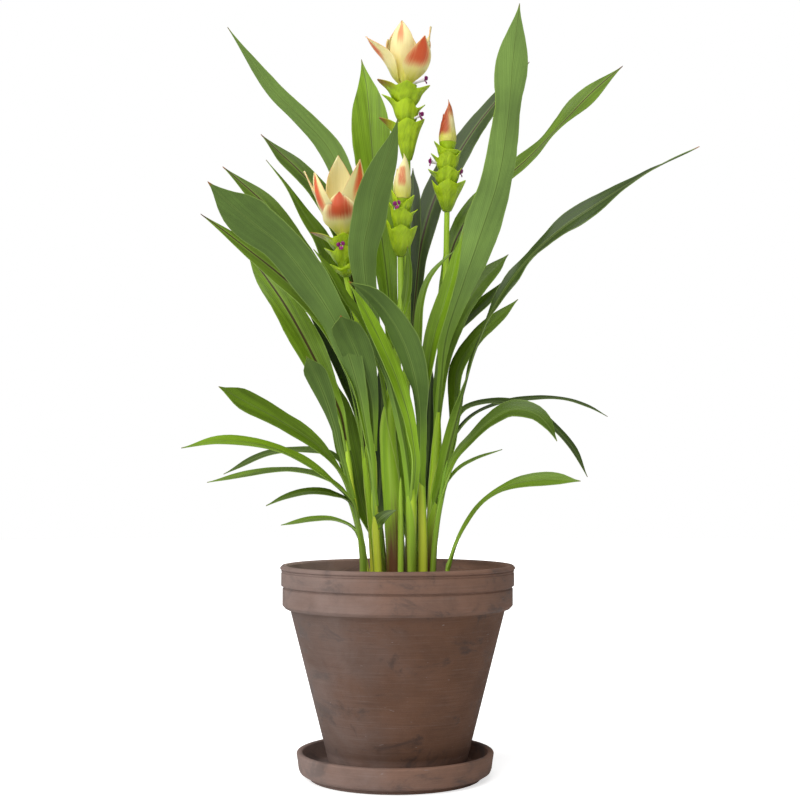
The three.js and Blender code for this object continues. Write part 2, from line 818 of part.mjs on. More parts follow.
// A thin closed sheet. at(along, side) gives its middle surface for along 0..1 and side -1..1, and
// thick(along) its thickness. Both faces are split into triangles alike.
function sheet(at, thick, steps, strips) {
  const middle = [];
  for (let i = 0; i <= steps; i++) {
    middle.push([]);
    for (let j = 0; j <= strips; j++) middle[i].push(at(i / steps, (2 * j) / strips - 1));
  }
  const corners = { front: [], back: [] };
  middle.forEach((row, i) =>
    row.forEach((point, j) => {
      const length = middle[Math.min(i + 1, steps)][j].clone().sub(middle[Math.max(i - 1, 0)][j]);
      const breadth = row[Math.min(j + 1, strips)].clone().sub(row[Math.max(j - 1, 0)]);
      const offset = length.cross(breadth).setLength(thick(i / steps) / 2);
      corners.front.push(point.clone().add(offset));
      corners.back.push(point.clone().sub(offset));
    }),
  );
  const width = strips + 1;
  const half = corners.front.length;
  const index = [];
  const quad = (a, b, c, d) => index.push(a, b, c, a, c, d);
  const front = (i, j) => i * width + j;
  const back = (i, j) => half + i * width + j;
  for (let i = 0; i < steps; i++) {
    for (let j = 0; j < strips; j++) {
      quad(front(i, j), front(i + 1, j), front(i + 1, j + 1), front(i, j + 1));
      index.push(back(i, j), back(i + 1, j + 1), back(i + 1, j));
      index.push(back(i, j), back(i, j + 1), back(i + 1, j + 1));
    }
    quad(front(i, 0), back(i, 0), back(i + 1, 0), front(i + 1, 0));
    quad(back(i, strips), front(i, strips), front(i + 1, strips), back(i + 1, strips));
  }
  for (let j = 0; j < strips; j++) {
    quad(back(0, j), front(0, j), front(0, j + 1), back(0, j + 1));
    quad(front(steps, j), back(steps, j), back(steps, j + 1), front(steps, j + 1));
  }
  const geometry = new THREE.BufferGeometry();
  geometry.setFromPoints([...corners.front, ...corners.back]);
  geometry.setIndex(index);
  return geometry;
}

// A round bar of changing radius along rows of [across, up, back, radius]; its ends are level.
function cane(rows, sides, steps) {
  const path = new THREE.CatmullRomCurve3(rows.map(seen), false, "centripetal");
  const radii = new THREE.CatmullRomCurve3(
    rows.map((row) => new THREE.Vector3(row[3], seen(row).z, 0)),
    false,
    "centripetal",
  );
  const points = [];
  for (let i = 0; i <= steps; i++) {
    const centre = path.getPoint(i / steps);
    const radius = radii.getPoint(i / steps).x;
    for (let k = 0; k < sides; k++) {
      const angle = (2 * Math.PI * k) / sides;
      points.push(new THREE.Vector3(radius * Math.cos(angle), radius * Math.sin(angle), 0).add(centre));
    }
  }
  const index = [];
  for (let i = 0; i < steps; i++)
    for (let k = 0; k < sides; k++) {
      const next = (k + 1) % sides;
      const [a, b, c, d] = [i * sides + k, i * sides + next, (i + 1) * sides + next, (i + 1) * sides + k];
      index.push(a, b, c, a, c, d);
    }
  for (let k = 1; k < sides - 1; k++) {
    index.push(0, k + 1, k);
    index.push(steps * sides, steps * sides + k, steps * sides + k + 1);
  }
  const geometry = new THREE.BufferGeometry().setFromPoints(points);
  geometry.setIndex(index);
  return geometry;
}

// The place on a cane's axis at a height of the layout, as [across, up, back].
function onCane(rows, up) {
  const above = rows.findIndex((row) => row[1] >= up);
  const [low, high] = [rows[above - 1], rows[above]];
  const share = (up - low[1]) / (high[1] - low[1]);
  return [0, 1, 2].map((axis) => THREE.MathUtils.lerp(low[axis], high[axis], share));
}

// A leaf: a folded blade with waved edges, whose lower end is a thick narrow stalk.
function leafBlade(stem, leaf) {
  const way = [onCane(stem.cane, leaf.from), ...leaf.way].map(seen);
  const spine = new THREE.CatmullRomCurve3(way, false, "centripetal");
  const length = spine.getLength();
  const frame = (share) => {
    const point = spine.getPointAt(share);
    const along = spine.getTangentAt(share);
    const viewer = EYE.clone().sub(point).normalize();
    const facing = viewer.addScaledVector(along, -viewer.dot(along)).normalize();
    return { point, along, facing, upward: along.clone().cross(facing) };
  };
  const widest = leaf.widths.indexOf(Math.max(...leaf.widths)) / (leaf.widths.length - 1);
  const hand = Math.sign(frame(widest).upward.z);
  const at = (share, side) => {
    const { point, along, facing, upward } = frame(share);
    upward.multiplyScalar(hand);
    const turn = THREE.MathUtils.degToRad(smooth(leaf.turns, share));
    const face = facing.multiplyScalar(Math.cos(turn)).addScaledVector(upward, Math.sin(turn));
    const fold = THREE.MathUtils.degToRad(leaf.fold) * (1.6 - share);
    const breadth = Math.max(smooth(leaf.widths, share) / 2, TIP_HALF_WIDTH);
    const swing = Math.sin((2 * Math.PI * share * length) / WAVE_LENGTH + 1.5 * side);
    const ripple = leaf.wave * swing * Math.sin(Math.PI * share) * side * side;
    const lift = breadth * Math.abs(side) * Math.sin(fold) + ripple;
    const sideways = along.cross(face).multiplyScalar(breadth * side * Math.cos(fold));
    return point.add(sideways).addScaledVector(face, lift);
  };
  const thick = (share) =>
    THREE.MathUtils.lerp(STALK_THICKNESS, BLADE_THICKNESS, Math.min(share / STALK_SHARE, 1));
  const steps = Math.max(FEWEST_STATIONS, Math.round(length / STATION_LENGTH));
  return sheet(at, thick, steps, leaf.broad ? 4 : 2);
}

// A bract: a spoon-shaped sheet round the bloom's axis, from root out to its belly and its short point.
function bract([azimuth, from, belly, tip, rise, width], root, steps) {
  const spine = new THREE.CatmullRomCurve3(
    [
      new THREE.Vector3(root, 0, from),
      new THREE.Vector3(THREE.MathUtils.lerp(root, belly, 0.6), 0, from + rise * 0.16),
      new THREE.Vector3(belly, 0, from + rise * 0.55),
      new THREE.Vector3(tip, 0, from + rise),
    ],
    false,
    "centripetal",
  );
  const at = (share, side) => {
    const point = spine.getPointAt(share);
    const swell = Math.sin(Math.PI * (0.05 + 0.95 * share)) ** 0.65;
    const breadth = Math.max((width / 2) * swell, TIP_HALF_WIDTH);
    const bend = Math.max(belly, width * 0.42);
    const angle = (side * breadth) / bend;
    point.x -= bend * (1 - Math.cos(angle));
    point.y = bend * Math.sin(angle);
    return point.applyAxisAngle(new THREE.Vector3(0, 0, 1), THREE.MathUtils.degToRad(azimuth));
  };
  return sheet(at, () => BRACT_THICKNESS, steps, 2);
}

// A tiny open flower at the mouth of a cup: a flared tube on a stalk from the bloom's axis.
function floret([azimuth, height, radius]) {
  const tube = FLORET_TUBE_RADIUS;
  const flare = new THREE.CylinderGeometry(FLORET_RADIUS, tube, FLORET_LENGTH, 5).rotateZ(-Math.PI / 2);
  const stalk = new THREE.CylinderGeometry(tube, tube, radius, 4).rotateZ(-Math.PI / 2);
  flare.translate(radius, 0, height);
  stalk.translate(radius / 2, 0, height);
  return [flare, stalk].map((piece) => piece.rotateZ(THREE.MathUtils.degToRad(azimuth)));
}

function place(geometry, foot, top) {
  const axis = top.clone().sub(foot).normalize();
  const lean = new THREE.Quaternion().setFromUnitVectors(new THREE.Vector3(0, 0, 1), axis);
  return geometry.applyQuaternion(lean).translate(foot.x, foot.y, foot.z);
}

function makeSaucer() {
  const { beltRadius, beltRound, rimRadius, height, wall, roundOver } = saucer;
  const { floor, floorRadius, floorRound } = saucer;
  return lathe([
    [0, 0],
    [saucer.footRadius, 0],
    [saucer.footRadius, saucer.footHeight],
    [saucer.wallFootRadius, saucer.footHeight],
    [beltRadius - beltRound, saucer.beltHeight - 2 * beltRound],
    [beltRadius, saucer.beltHeight],
    [rimRadius, height - roundOver],
    [rimRadius - roundOver, height],
    [rimRadius - wall + roundOver, height],
    [rimRadius - wall, height - roundOver],
    [floorRadius + 2 * floorRound, floor + floorRound],
    [floorRadius, floor],
    [0, floor],
  ]);
}

// The radius inside the pot's wall at a height over the surface that the saucer stands on.
function innerRadius(height) {
  const share = (height - saucer.floor) / (pot.shoulderHeight - saucer.floor);
  return THREE.MathUtils.lerp(pot.baseRadius, pot.shoulderRadius, share) - pot.wall;
}

function makePot() {
  const { roundOver, baseRound, bandRound, floorRound, grooveHeight, grooveHalfWidth, lipStep } = pot;
  const floor = saucer.floor + pot.floorThickness;
  return lathe([
    [pot.drainRadius, saucer.floor],
    [pot.baseRadius - baseRound, saucer.floor],
    [pot.baseRadius, saucer.floor + baseRound],
    [pot.shoulderRadius, pot.shoulderHeight],
    [pot.lowerBandRadius - bandRound, pot.shoulderHeight],
    [pot.lowerBandRadius, pot.shoulderHeight + bandRound],
    [pot.lowerBandRadius, grooveHeight - grooveHalfWidth],
    [pot.upperBandRadius, grooveHeight + grooveHalfWidth],
    [pot.upperBandRadius, pot.lipHeight - lipStep],
    [pot.lipRadius, pot.lipHeight + lipStep],
    [pot.lipRadius, pot.height - roundOver],
    [pot.lipRadius - roundOver, pot.height],
    [pot.mouthRadius + roundOver, pot.height],
    [pot.mouthRadius, pot.height - roundOver],
    [innerRadius(pot.shoulderHeight), pot.shoulderHeight],
    [innerRadius(floor + floorRound), floor + floorRound],
    [innerRadius(floor) - floorRound, floor],
    [pot.drainRadius, floor],
    [pot.drainRadius, saucer.floor],
  ]).translate(pot.across, 0, 0);
}

function makeSoil() {
  const potFloor = saucer.floor + pot.floorThickness;
  const foot = potFloor + soil.gap;
  const edge = innerRadius(soil.edgeHeight) - soil.edgeGap;
  const top = Array.from({ length: soil.rings + 1 }, (_, i) => {
    const share = 1 - i / soil.rings;
    return [edge * share, soil.edgeHeight + soil.mound * (1 - share * share)];
  });
  const geometry = lathe([
    [0, foot],
    [innerRadius(potFloor) - pot.floorRound - soil.edgeGap, foot],
    [innerRadius(potFloor + pot.floorRound) - soil.edgeGap, foot + pot.floorRound],
    [edge, soil.edgeHeight - soil.shoulder],
    ...top,
  ]);
  const position = geometry.attributes.position;
  for (let i = 0; i < position.count; i++) {
    const [x, y, z] = [position.getX(i), position.getY(i), position.getZ(i)];
    if (z < soil.edgeHeight) continue;
    const lump = Math.sin(x * 0.31 + 1.3) * Math.cos(y * 0.27) + 0.6 * Math.sin((x + y) * 0.53);
    position.setZ(i, z + soil.lump * lump);
  }
  let solid = solidOf(geometry.translate(pot.across, 0, 0));
  for (const stem of stems) {
    const foot = seen(stem.cane[0]);
    const radius = Math.max(stem.cane[0][3], stem.cane[1][3]) / Math.cos(Math.PI / HOLE_SIDES);
    const hole = lathe(
      [
        [0, 0],
        [radius + STEM_CLEARANCE, 0],
        [radius + STEM_CLEARANCE, HOLE_LENGTH],
        [0, HOLE_LENGTH],
      ],
      HOLE_SIDES,
    );
    solid = solid.subtract(solidOf(hole.translate(foot.x, foot.y, foot.z - STEM_CLEARANCE)));
  }
  return geometryOf(solid);
}

function makeStem(stem) {
  const thick = Math.max(...stem.cane.map((row) => row[3])) > THICK_CANE;
  const body = cane(stem.cane, thick ? 8 : 6, stem.cane.length + 1);
  return geometryOf(fuse([body, ...stem.leaves.map((leaf) => leafBlade(stem, leaf))]));
}

// The radius of a lathed profile of [radius, height] at a height.
function radiusAt(profile, height) {
  const above = Math.max(1, profile.findIndex((row) => row[1] >= height));
  const [low, high] = [profile[above - 1], profile[above]];
  return THREE.MathUtils.mapLinear(height, low[1], high[1], low[0], high[0]);
}

// A closed crown: a few bracts rolled round each other, each one's edge standing out over the next.
function rolledBud(profile, base) {
  const bud = lathe([[0, 0], ...profile], BUD_BRACTS * BUD_BRACT_SIDES);
  const position = bud.attributes.position;
  for (let i = 0; i < position.count; i++) {
    const [x, y, z] = [position.getX(i), position.getY(i), position.getZ(i)];
    const turn = Math.atan2(y, x) / (2 * Math.PI) + 1;
    const step = Math.round(turn * BUD_BRACTS * BUD_BRACT_SIDES) % BUD_BRACT_SIDES;
    const swell = 1 + BUD_ROLL * (step / (BUD_BRACT_SIDES - 1) - 0.5);
    position.setXYZ(i, x * swell, y * swell, z + base);
  }
  return bud;
}

// An open crown: pale bracts round a low heart.
function openCrown(rows, mouth, base) {
  const profile = [
    [0, 0],
    [mouth * 0.7, 0],
    [mouth * 0.85, 4],
    [mouth * 0.5, 10],
    [0, 12],
  ];
  const heart = lathe(profile, CUP_SIDES).translate(0, 0, base);
  return fuse([heart, ...rows.map((row) => bract(row, mouth * 0.7 - BRACT_ROOT, CROWN_STEPS))]);
}

function makeBloom(bloom) {
  const rows = stems.find((stem) => stem.name === bloom.stem).cane;
  const foot = seen(rows[rows.length - 1]);
  const top = seen(bloom.top);
  foot.z += BLOOM_GAP;
  const [mouth, rim] = bloom.cups[bloom.cups.length - 1];
  const base = rim + BLOOM_GAP;
  const cups = lathe([[0, 0], ...bloom.cups, [0, rim]], CUP_SIDES);
  const lips = bloom.lips.map((row) => bract(row, radiusAt(bloom.cups, row[1]) - BRACT_ROOT, LIP_STEPS));
  const green = fuse([cups, ...lips, ...bloom.florets.flatMap(floret)]);
  const pale = bloom.bud ? solidOf(rolledBud(bloom.bud, base)) : openCrown(bloom.crown, mouth, base);
  return [green, pale].map((solid) => place(geometryOf(solid), foot, top));
}

const plant = new THREE.Group();

function add(name, geometry, material) {
  const mesh = new THREE.Mesh(geometry, material);
  mesh.name = name;
  plant.add(mesh);
}

add("saucer", makeSaucer(), clay);
add("pot", makePot(), clay);
add("soil", makeSoil(), earth);
for (const stem of stems) add(stem.name, makeStem(stem), matter(...stem.color, 0.6));
for (const bloom of blooms) {
  const [green, pale] = makeBloom(bloom);
  add(bloom.name + "_green_bracts", green, greenBract);
  add(bloom.name + "_crown", pale, paleBract);
}

export default plant;
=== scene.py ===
"""A potted siam tulip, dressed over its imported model: clay pot and saucer, soil, leafy stems and four blooms.

The tables are in millimetres and the meshes in metres. The plant is laid out as an eye in front of it sees
it: a point is (across, up, back), where across and up are read in the upright plane through the saucer's
axis, and back is how far the point lies behind that plane.
"""
import collections
import math
import random

import bpy
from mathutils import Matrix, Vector, noise


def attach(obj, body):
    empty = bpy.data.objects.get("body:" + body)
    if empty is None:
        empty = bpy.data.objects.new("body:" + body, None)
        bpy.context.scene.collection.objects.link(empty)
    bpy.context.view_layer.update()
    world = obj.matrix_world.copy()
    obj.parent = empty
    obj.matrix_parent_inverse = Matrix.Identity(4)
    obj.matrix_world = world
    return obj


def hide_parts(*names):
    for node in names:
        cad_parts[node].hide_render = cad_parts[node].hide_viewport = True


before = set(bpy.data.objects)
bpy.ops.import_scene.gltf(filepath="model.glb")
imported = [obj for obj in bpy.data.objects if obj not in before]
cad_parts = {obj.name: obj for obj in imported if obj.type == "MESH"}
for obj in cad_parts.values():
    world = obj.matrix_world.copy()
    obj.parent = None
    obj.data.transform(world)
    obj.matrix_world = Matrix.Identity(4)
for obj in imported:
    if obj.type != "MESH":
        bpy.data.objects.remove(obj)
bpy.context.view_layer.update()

bl_info = {
    "name": "Potted siam tulip",
    "version": (1, 0, 0),
    "blender": (4, 5, 0),
    "location": "View3D > Sidebar > Siam tulip",
    "description": "Makes a potted siam tulip over its packed model, one group of pieces at a time",
    "category": "Add Mesh",
}

MM = 0.001

# The eye of the layout, where the camera stands as well, and the way that the main light shines.
EYE = Vector((3.5, -1094.0, 218.6))
KEY_HEADING = Vector((0.52, 0.68, -0.82))

# The floor and the nearest thing that the camera sees, in metres, and the camera's sensor in millimetres.
FLOOR_RADIUS = 4
NEAREST_SEEN = 0.01
SENSOR_WIDTH = 36

# The clay ware, in (radius, height) outlines. The pot stands a little off the middle of its saucer.
POT_ACROSS = 1.8
POT_OUTLINE = [
    (10, 6.5), (47.4, 6.5), (48.8, 7.9), (63.4, 64.7), (78, 121.5), (81.2, 121.5), (83.4, 123.9),
    (83.4, 135.7), (82.7, 136.3), (82.7, 137.1), (84.4, 137.9), (84.4, 146.9), (83.9, 147.3), (83.9, 147.7),
    (84.4, 148.1), (84.4, 148.7), (84.0, 149.0), (84.0, 149.4), (85.1, 149.8), (85.1, 151), (83.7, 152.4),
    (80.8, 152.4), (79.4, 151), (72.5, 121.5), (46.2, 17.5), (41, 13.5), (10, 13.5), (10, 6.5),
]
SAUCER_OUTLINE = [
    (0, 0), (61.6, 0), (62, 0.4), (62, 3), (65.5, 3), (68.6, 5), (69.6, 7.5), (70.3, 13), (71.1, 18),
    (70.6, 18.9), (69.6, 19.3), (67.9, 19.3), (66.9, 18.8), (66.5, 18), (64.6, 9), (63.4, 7.2), (61.4, 6.5),
    (0, 6.5),
]

# The soil: its outline under the clay's inside, the edge of its top, and how high that top is mounded. Its
# lumps are (share of their height, waves in a millimetre, seed), and they fade out towards the edge.
SOIL_SIDE = [(0, 13.8), (40.5, 13.8), (45.5, 17.8), (74.2, 133)]
SOIL_EDGE = (74.7, 134)
SOIL_MOUND = 4
SOIL_RINGS = 30
SOIL_SIDES = 110
SOIL_LUMPS = ((1, 0.09, 3.1), (0.5, 0.3, 7.7))
LUMP_FADE = 8

# The crumbs: the smallest and largest before the power that makes most of them small, and their form.
CRUMB_SEED = 7
CRUMB_SIZES = (0.18, 1)
CRUMB_POWER = 1.6
CRUMB_DENTS = 0.55
CRUMB_FLATNESS = 0.7
CRUMB_LIFT = 0.3

# Canes and the leaf sheaths round them. Each layer of sheaths is drawn in under the next. The foot of a
# sheath wraps nearly all round, in degrees to each side, and its top is a narrow point. It faces the place
# that its leaf has reached after SHEATH_AIM.
CANE_SIDES = 20
CANE_STATION = 4
SHEATH_STRIPS = 14
SHEATH_STATION = 6
SHEATH_LAYER = 0.25
SHEATH_FOOT = 4
SHEATH_TOP = 12
SHEATH_AIM = 22
SHEATH_WRAP = (168, 9)

# Leaves. One begins as a gutter-shaped stalk that flattens into the blade over a share of its length. The
# fold along its rib eases from 1.6 of the leaf's own at the foot to 0.6 at the tip.
STALK_SHARE = 0.35
STALK_WRAP = math.radians(100)
STALK_THICKNESS = 1.5
BLADE_THICKNESS = 0.55
RIB_THICKNESS = 0.7
RIB_SPREAD = 0.9
TIP_HALF_WIDTH = 0.12
FOLD_AT_FOOT = 1.6
WAVE_LENGTH = 70
WAVE_HEIGHT = 1.3
EDGE_SHARE = 0.06
BLADE_STRIPS = 12
BLADE_STATION = 4.5
FEWEST_STATIONS, MOST_STATIONS = 12, 90

# Green bracts: the stacked cups that form a bloom's core, and the tiers of pockets round it.
BLOOM_GAP = 0.3
CUP_STATIONS = 72
CUP_SIDES = 36
CUP_GROOVE = 4.5
CORE_SHARE = 0.6
TIER_GAP = 6
POCKET_STRIPS = 120
POCKET_STATIONS = 20
NECK_SHARE = 0.95
BRACT_THICKNESS = 0.55

# Crowns: open ones of pale bracts round a closed heart, and buds of rolled ones.
BRACT_ROOT = 1.2
BRACT_SPREAD = 1.06
BRACT_STRIPS = 12
BRACT_STATIONS = 26
HEART_SIDES = 24
HEART_STATIONS = 14
BUD_HEIGHTS = (1, 0.8, 0.64)
ROLL_START = -160
ROLL_REACH = 215
ROLL_STRIPS = 16
ROLL_THICKNESS = 0.5

# The tiny flowers among the green bracts: a tube and three lips, at these turns from upright.
FLORET_ROOT = 0.35
FLORET_THICKNESS = 0.3
LIP_TURNS = (-70, 50, 180)

# Each stem has its tone (0 the darkest green, 1 the brightest), how red its foot is, and the rows of its
# cane: (across, up, back, radius). Each leaf has the height at which it leaves the cane, its tone, how maroon
# its rib is, how dry its tip is, the points of its middle line, its widths at equal shares of its length, the
# turns of its face (0 looks at the eye, 90 upwards), the fold along its rib, and how much its edges wave.
# A tone is partly a part's own green and partly painted shade: parts that lie in shadow have darker tones.
STEMS = [
    {
        "name": "stem_low_left", "tone": 0.25, "redness": 0.2,
        "cane": [(-23, 114, -34, 2.4), (-23, 140, -34, 2.6), (-24, 165, -36, 2.4), (-28, 185, -38, 2.2),
            (-33, 207, -41, 1.9)],
        "leaves": [
            {"name": "rounded", "from": 200, "tone": 0.4, "rib": 0, "tip": 0.3,
             "way": [(-36, 220, -43), (-40, 234, -46), (-44, 252, -53), (-50, 271, -63), (-57, 288, -76),
                 (-65, 304, -94)],
             "widths": [3.4, 3.4, 4, 4.5, 8, 12.5, 15, 14, 0],
             "turns": [150, 160, 165], "fold": 12, "wave": 0.6},
            {"name": "low_broad", "from": 185, "tone": 0.45, "rib": 0.2, "tip": 0.3,
             "way": [(-38, 215, -48), (-55, 237, -58), (-88, 259, -70), (-112, 272, -80), (-129, 282, -88)],
             "widths": [3.4, 4, 6, 9, 14, 17.5, 20, 18.5, 0],
             "turns": [60, 48, 42], "fold": 14, "wave": 0.8},
            {"name": "low_long", "from": 170, "tone": 0.77, "rib": 0.2, "tip": 0.3,
             "way": [(-31, 196, -46), (-45, 211, -60), (-69, 228, -76), (-98, 239, -92), (-128, 242, -106),
                 (-156, 237, -118)],
             "widths": [3.4, 4, 6, 9, 12, 13, 12, 9, 0],
             "turns": [80, 70, 62, 60], "fold": 16, "wave": 0.5},
            {"name": "low_short", "from": 165, "tone": 0.27, "rib": 0, "tip": 0.2,
             "way": [(-32, 196, -48), (-45, 203, -60), (-62, 205, -72), (-80, 201, -84), (-94, 195, -92)],
             "widths": [3.2, 4, 5, 7, 8.5, 9, 8.5, 6, 0],
             "turns": [80, 66, 60], "fold": 14, "wave": 0.4},
        ],
    },
    {
        "name": "stem_left", "tone": 1, "redness": 0.1,
        "cane": [(-20, 114, -12, 2.2), (-20, 140, -12, 2.4), (-24, 167, -12, 2.2), (-31, 207, -13, 2),
            (-36, 243, -13, 1.9)],
        "leaves": [
            {"name": "bright_broad", "from": 235, "tone": 0.64, "rib": 1, "tip": 0.3,
             "way": [(-40, 262, -12), (-48, 280, -11), (-59, 302, -9), (-70, 323, -5), (-81, 342, 0),
                 (-94, 361, 7), (-109, 381, 16)],
             "widths": [3.4, 6, 12, 19, 23, 22, 19, 13.5, 0],
             "turns": [25, 18, 15], "fold": 10, "wave": 0.8},
            {"name": "low_upper", "from": 175, "tone": 0.18, "rib": 0.1, "tip": 0.3,
             "way": [(-33, 215, -4), (-45, 231, 4), (-69, 235, 16), (-95, 232, 30), (-125, 218, 46)],
             "widths": [3.2, 4, 6, 8, 10, 10.5, 9.5, 7, 0],
             "turns": [80, 66, 60], "fold": 14, "wave": 0.4},
            {"name": "low_middle", "from": 165, "tone": 0.49, "rib": 0.1, "tip": 0.3,
             "way": [(-36, 203, 2), (-50, 214, 14), (-70, 220, 28), (-100, 219, 48), (-137, 212, 72)],
             "widths": [3.2, 4, 6, 8, 10, 10.5, 9.5, 7, 0],
             "turns": [80, 68, 62], "fold": 14, "wave": 0.4},
            {"name": "low_under", "from": 155, "tone": 0.57, "rib": 0, "tip": 0.2,
             "way": [(-29, 177, -6), (-42, 184, 4), (-60, 185, 18), (-83, 181, 36)],
             "widths": [3, 3.5, 5, 6.5, 8, 8, 7, 5, 0],
             "turns": [80, 66, 60], "fold": 14, "wave": 0.3},
        ],
    },
    {
        "name": "stem_broad", "tone": 1, "redness": 0.1,
        "cane": [(-12, 114, -28, 2.6), (-12, 140, -28, 2.8), (-14, 175, -29, 2.6), (-15, 205, -31, 2.4),
            (-16, 240, -33, 2.1)],
        "leaves": [
            {"name": "front_broad", "from": 235, "tone": 0.39, "rib": 0, "tip": 1,
             "way": [(-16, 255, -35), (-18, 275, -38), (-23, 293, -43), (-30, 311, -52), (-36, 324, -62),
                 (-40, 334, -76)],
             "widths": [3.4, 5, 7.5, 11, 18, 23, 23, 19, 0],
             "turns": [150, 165, 165], "fold": 10, "wave": 0.8},
            {"name": "left_broad", "from": 195, "tone": 0.44, "rib": 0, "tip": 1,
             "way": [(-19, 240, -37), (-28, 285, -44), (-42, 325, -51), (-62, 358, -58), (-84, 386, -66),
                 (-104, 402, -74), (-123, 418, -83), (-138, 433, -92)],
             "widths": [3.4, 4.5, 9, 16, 23, 27, 28.5, 30, 0],
             "turns": [140, 155, 160], "fold": 9, "wave": 1.1},
            {"name": "left_under", "from": 175, "tone": 0.55, "rib": 1, "tip": 0.3,
             "way": [(-17, 225, -34), (-27, 280, -37), (-42, 318, -38), (-62, 343, -39), (-86, 365, -40),
                 (-110, 384, -41), (-128, 398, -42), (-143, 409, -43)],
             "widths": [3.4, 4, 8, 13, 18, 19, 17, 11, 0],
             "turns": [50, 35, 40], "fold": 12, "wave": 0.8},
            {"name": "torn", "from": 178, "tone": 0.2, "rib": 0, "tip": 0.2,
             "way": [(-12, 184, -33), (-6, 189, -35), (1, 192, -36)],
             "widths": [3, 6, 9, 8, 6, 3, 0],
             "turns": [20, 20], "fold": 8, "wave": 0},
        ],
    },
    {
        "name": "stem_left_bloom", "tone": 1, "redness": 0.1,
        "cane": [(-15, 114, 0, 2.7), (-15, 140, 0, 2.9), (-17, 177, 0, 2.7), (-20, 210, 0, 2.6),
            (-22, 240, 0, 2.4), (-21, 280, 0, 2.2), (-24, 316, 1, 2.2), (-31, 340, 2, 2.1),
            (-36, 362, 3, 2)],
        "leaves": [
            {"name": "light_strip", "from": 230, "tone": 0.81, "rib": 0, "tip": 0.2,
             "way": [(-29, 265, -1), (-36, 296, -1), (-45, 316, 0), (-57, 331, 2), (-72, 345, 5)],
             "widths": [3.4, 4, 6, 9, 12, 14, 14, 11, 0],
             "turns": [60, 66, 60], "fold": 14, "wave": 0.5},
            {"name": "dark_behind", "from": 215, "tone": 0.08, "rib": 0, "tip": 0.2,
             "way": [(-26, 260, 7), (-35, 290, 11), (-47, 316, 15), (-58, 340, 20), (-68, 364, 26)],
             "widths": [3.4, 4.5, 8, 13, 17, 18, 17, 13, 0],
             "turns": [30, 30], "fold": 10, "wave": 0.6},
            {"name": "brown_tipped", "from": 225, "tone": 0.3, "rib": 1, "tip": 1,
             "way": [(-30, 290, -8), (-46, 335, -15), (-62, 366, -19), (-78, 391, -20), (-95, 415, -18),
                 (-112, 431, -14), (-127, 444, -8)],
             "widths": [3.4, 4, 8, 13, 17, 20, 20, 13, 0],
             "turns": [40, 30, 40], "fold": 12, "wave": 0.8},
        ],
    },
    {
        "name": "stem_centre", "tone": 0.55, "redness": 1,
        "cane": [(1, 114, -10, 6.7), (1, 140, -10, 6.9), (-1, 185, -10, 6.8), (-4, 228, -10, 6.5),
            (-5, 250, -11, 5.6), (-3, 276, -11, 4.2), (1, 305, -12, 3), (4, 338, -13, 2.4),
            (4, 377, -14, 2.2)],
        "leaves": [
            {"name": "thin_edge", "from": 255, "tone": 0.73, "rib": 0, "tip": 0.3,
             "way": [(-12, 295, -20), (-24, 330, -22), (-36, 346, -24), (-47, 366, -25), (-60, 383, -26)],
             "widths": [3.2, 4, 6, 9, 11, 12, 11, 8, 0],
             "turns": [60, 60], "fold": 12, "wave": 0.4},
            {"name": "sheath", "from": 326, "tone": 0.48, "rib": 0, "tip": 1,
             "way": [(8, 346, -16), (10, 366, -18), (9, 385, -20)],
             "widths": [3, 7, 8, 7, 5, 0],
             "turns": [30, 30], "fold": 14, "wave": 0},
        ],
    },
    {
        "name": "stem_top_bloom", "tone": 0.55, "redness": 0.8,
        "cane": [(10, 114, 10, 3.3), (10, 140, 10, 3.5), (11, 190, 10, 3.4), (10, 236, 9, 3.1),
            (8, 287, 8, 2.8), (9, 338, 7, 2.6), (9, 397, 6, 2.4), (9, 448, 5, 2.2)],
        "leaves": [
            {"name": "dark_centre", "from": 280, "tone": 0.02, "rib": 0, "tip": 0.3,
             "way": [(9, 330, 14), (10, 370, 20), (12, 405, 24), (13, 425, 27), (13, 443, 30)],
             "widths": [3.4, 4.5, 7, 11, 14, 16, 16, 12, 0],
             "turns": [20, 20], "fold": 10, "wave": 0.5},
        ],
    },
    {
        "name": "stem_front", "tone": 0.55, "redness": 0.3,
        "cane": [(12, 114, -30, 2.7), (12, 140, -30, 2.9), (12, 170, -30, 3.4), (12, 199, -31, 3.6),
            (12, 222, -32, 2.6)],
        "leaves": [
            {"name": "front_tall", "from": 190, "tone": 0.57, "rib": 0, "tip": 0.2,
             "way": [(8, 228, -36), (3, 257, -36), (-4, 285, -35), (-10, 300, -34), (-17, 332, -37),
                 (-22, 362, -42), (-23, 384, -47), (-19, 405, -52), (-15, 425, -58), (-8, 446, -66),
                 (-2, 463, -73), (2, 480, -82)],
             "widths": [4, 5.5, 6, 6, 12, 20, 25.5, 19.5, 0],
             "turns": [150, 160, 160], "fold": 9, "wave": 0.8},
            {"name": "front_strip", "from": 195, "tone": 1, "rib": 0, "tip": 0.3,
             "way": [(14.5, 228, -42), (12.5, 243, -43), (10, 258, -44), (6, 272, -45), (0, 290, -47),
                 (-10, 313, -51), (-22, 337, -55), (-33, 357, -60)],
             "widths": [4.5, 7, 8, 9, 11.5, 13, 12, 9, 0],
             "turns": [40, 30, 40], "fold": 12, "wave": 0.5},
        ],
    },
    {
        "name": "stem_bright", "tone": 0.88, "redness": 0.1,
        "cane": [(20, 114, -22, 3.2), (20, 140, -22, 3.4), (20, 170, -22, 3.2), (19.5, 199, -22, 2.8),
            (18.5, 228, -24, 2.3), (18, 250, -26, 2)],
        "leaves": [
            {"name": "front_folded", "from": 205, "tone": 0.31, "rib": 0, "tip": 1,
             "way": [(18.5, 232, -30), (18, 262, -36), (14, 290, -55), (6, 315, -62), (-6, 336, -67),
                 (-20, 351, -72), (-34, 359, -78)],
             "widths": [3.6, 7, 9, 14, 20, 24, 23, 17, 0],
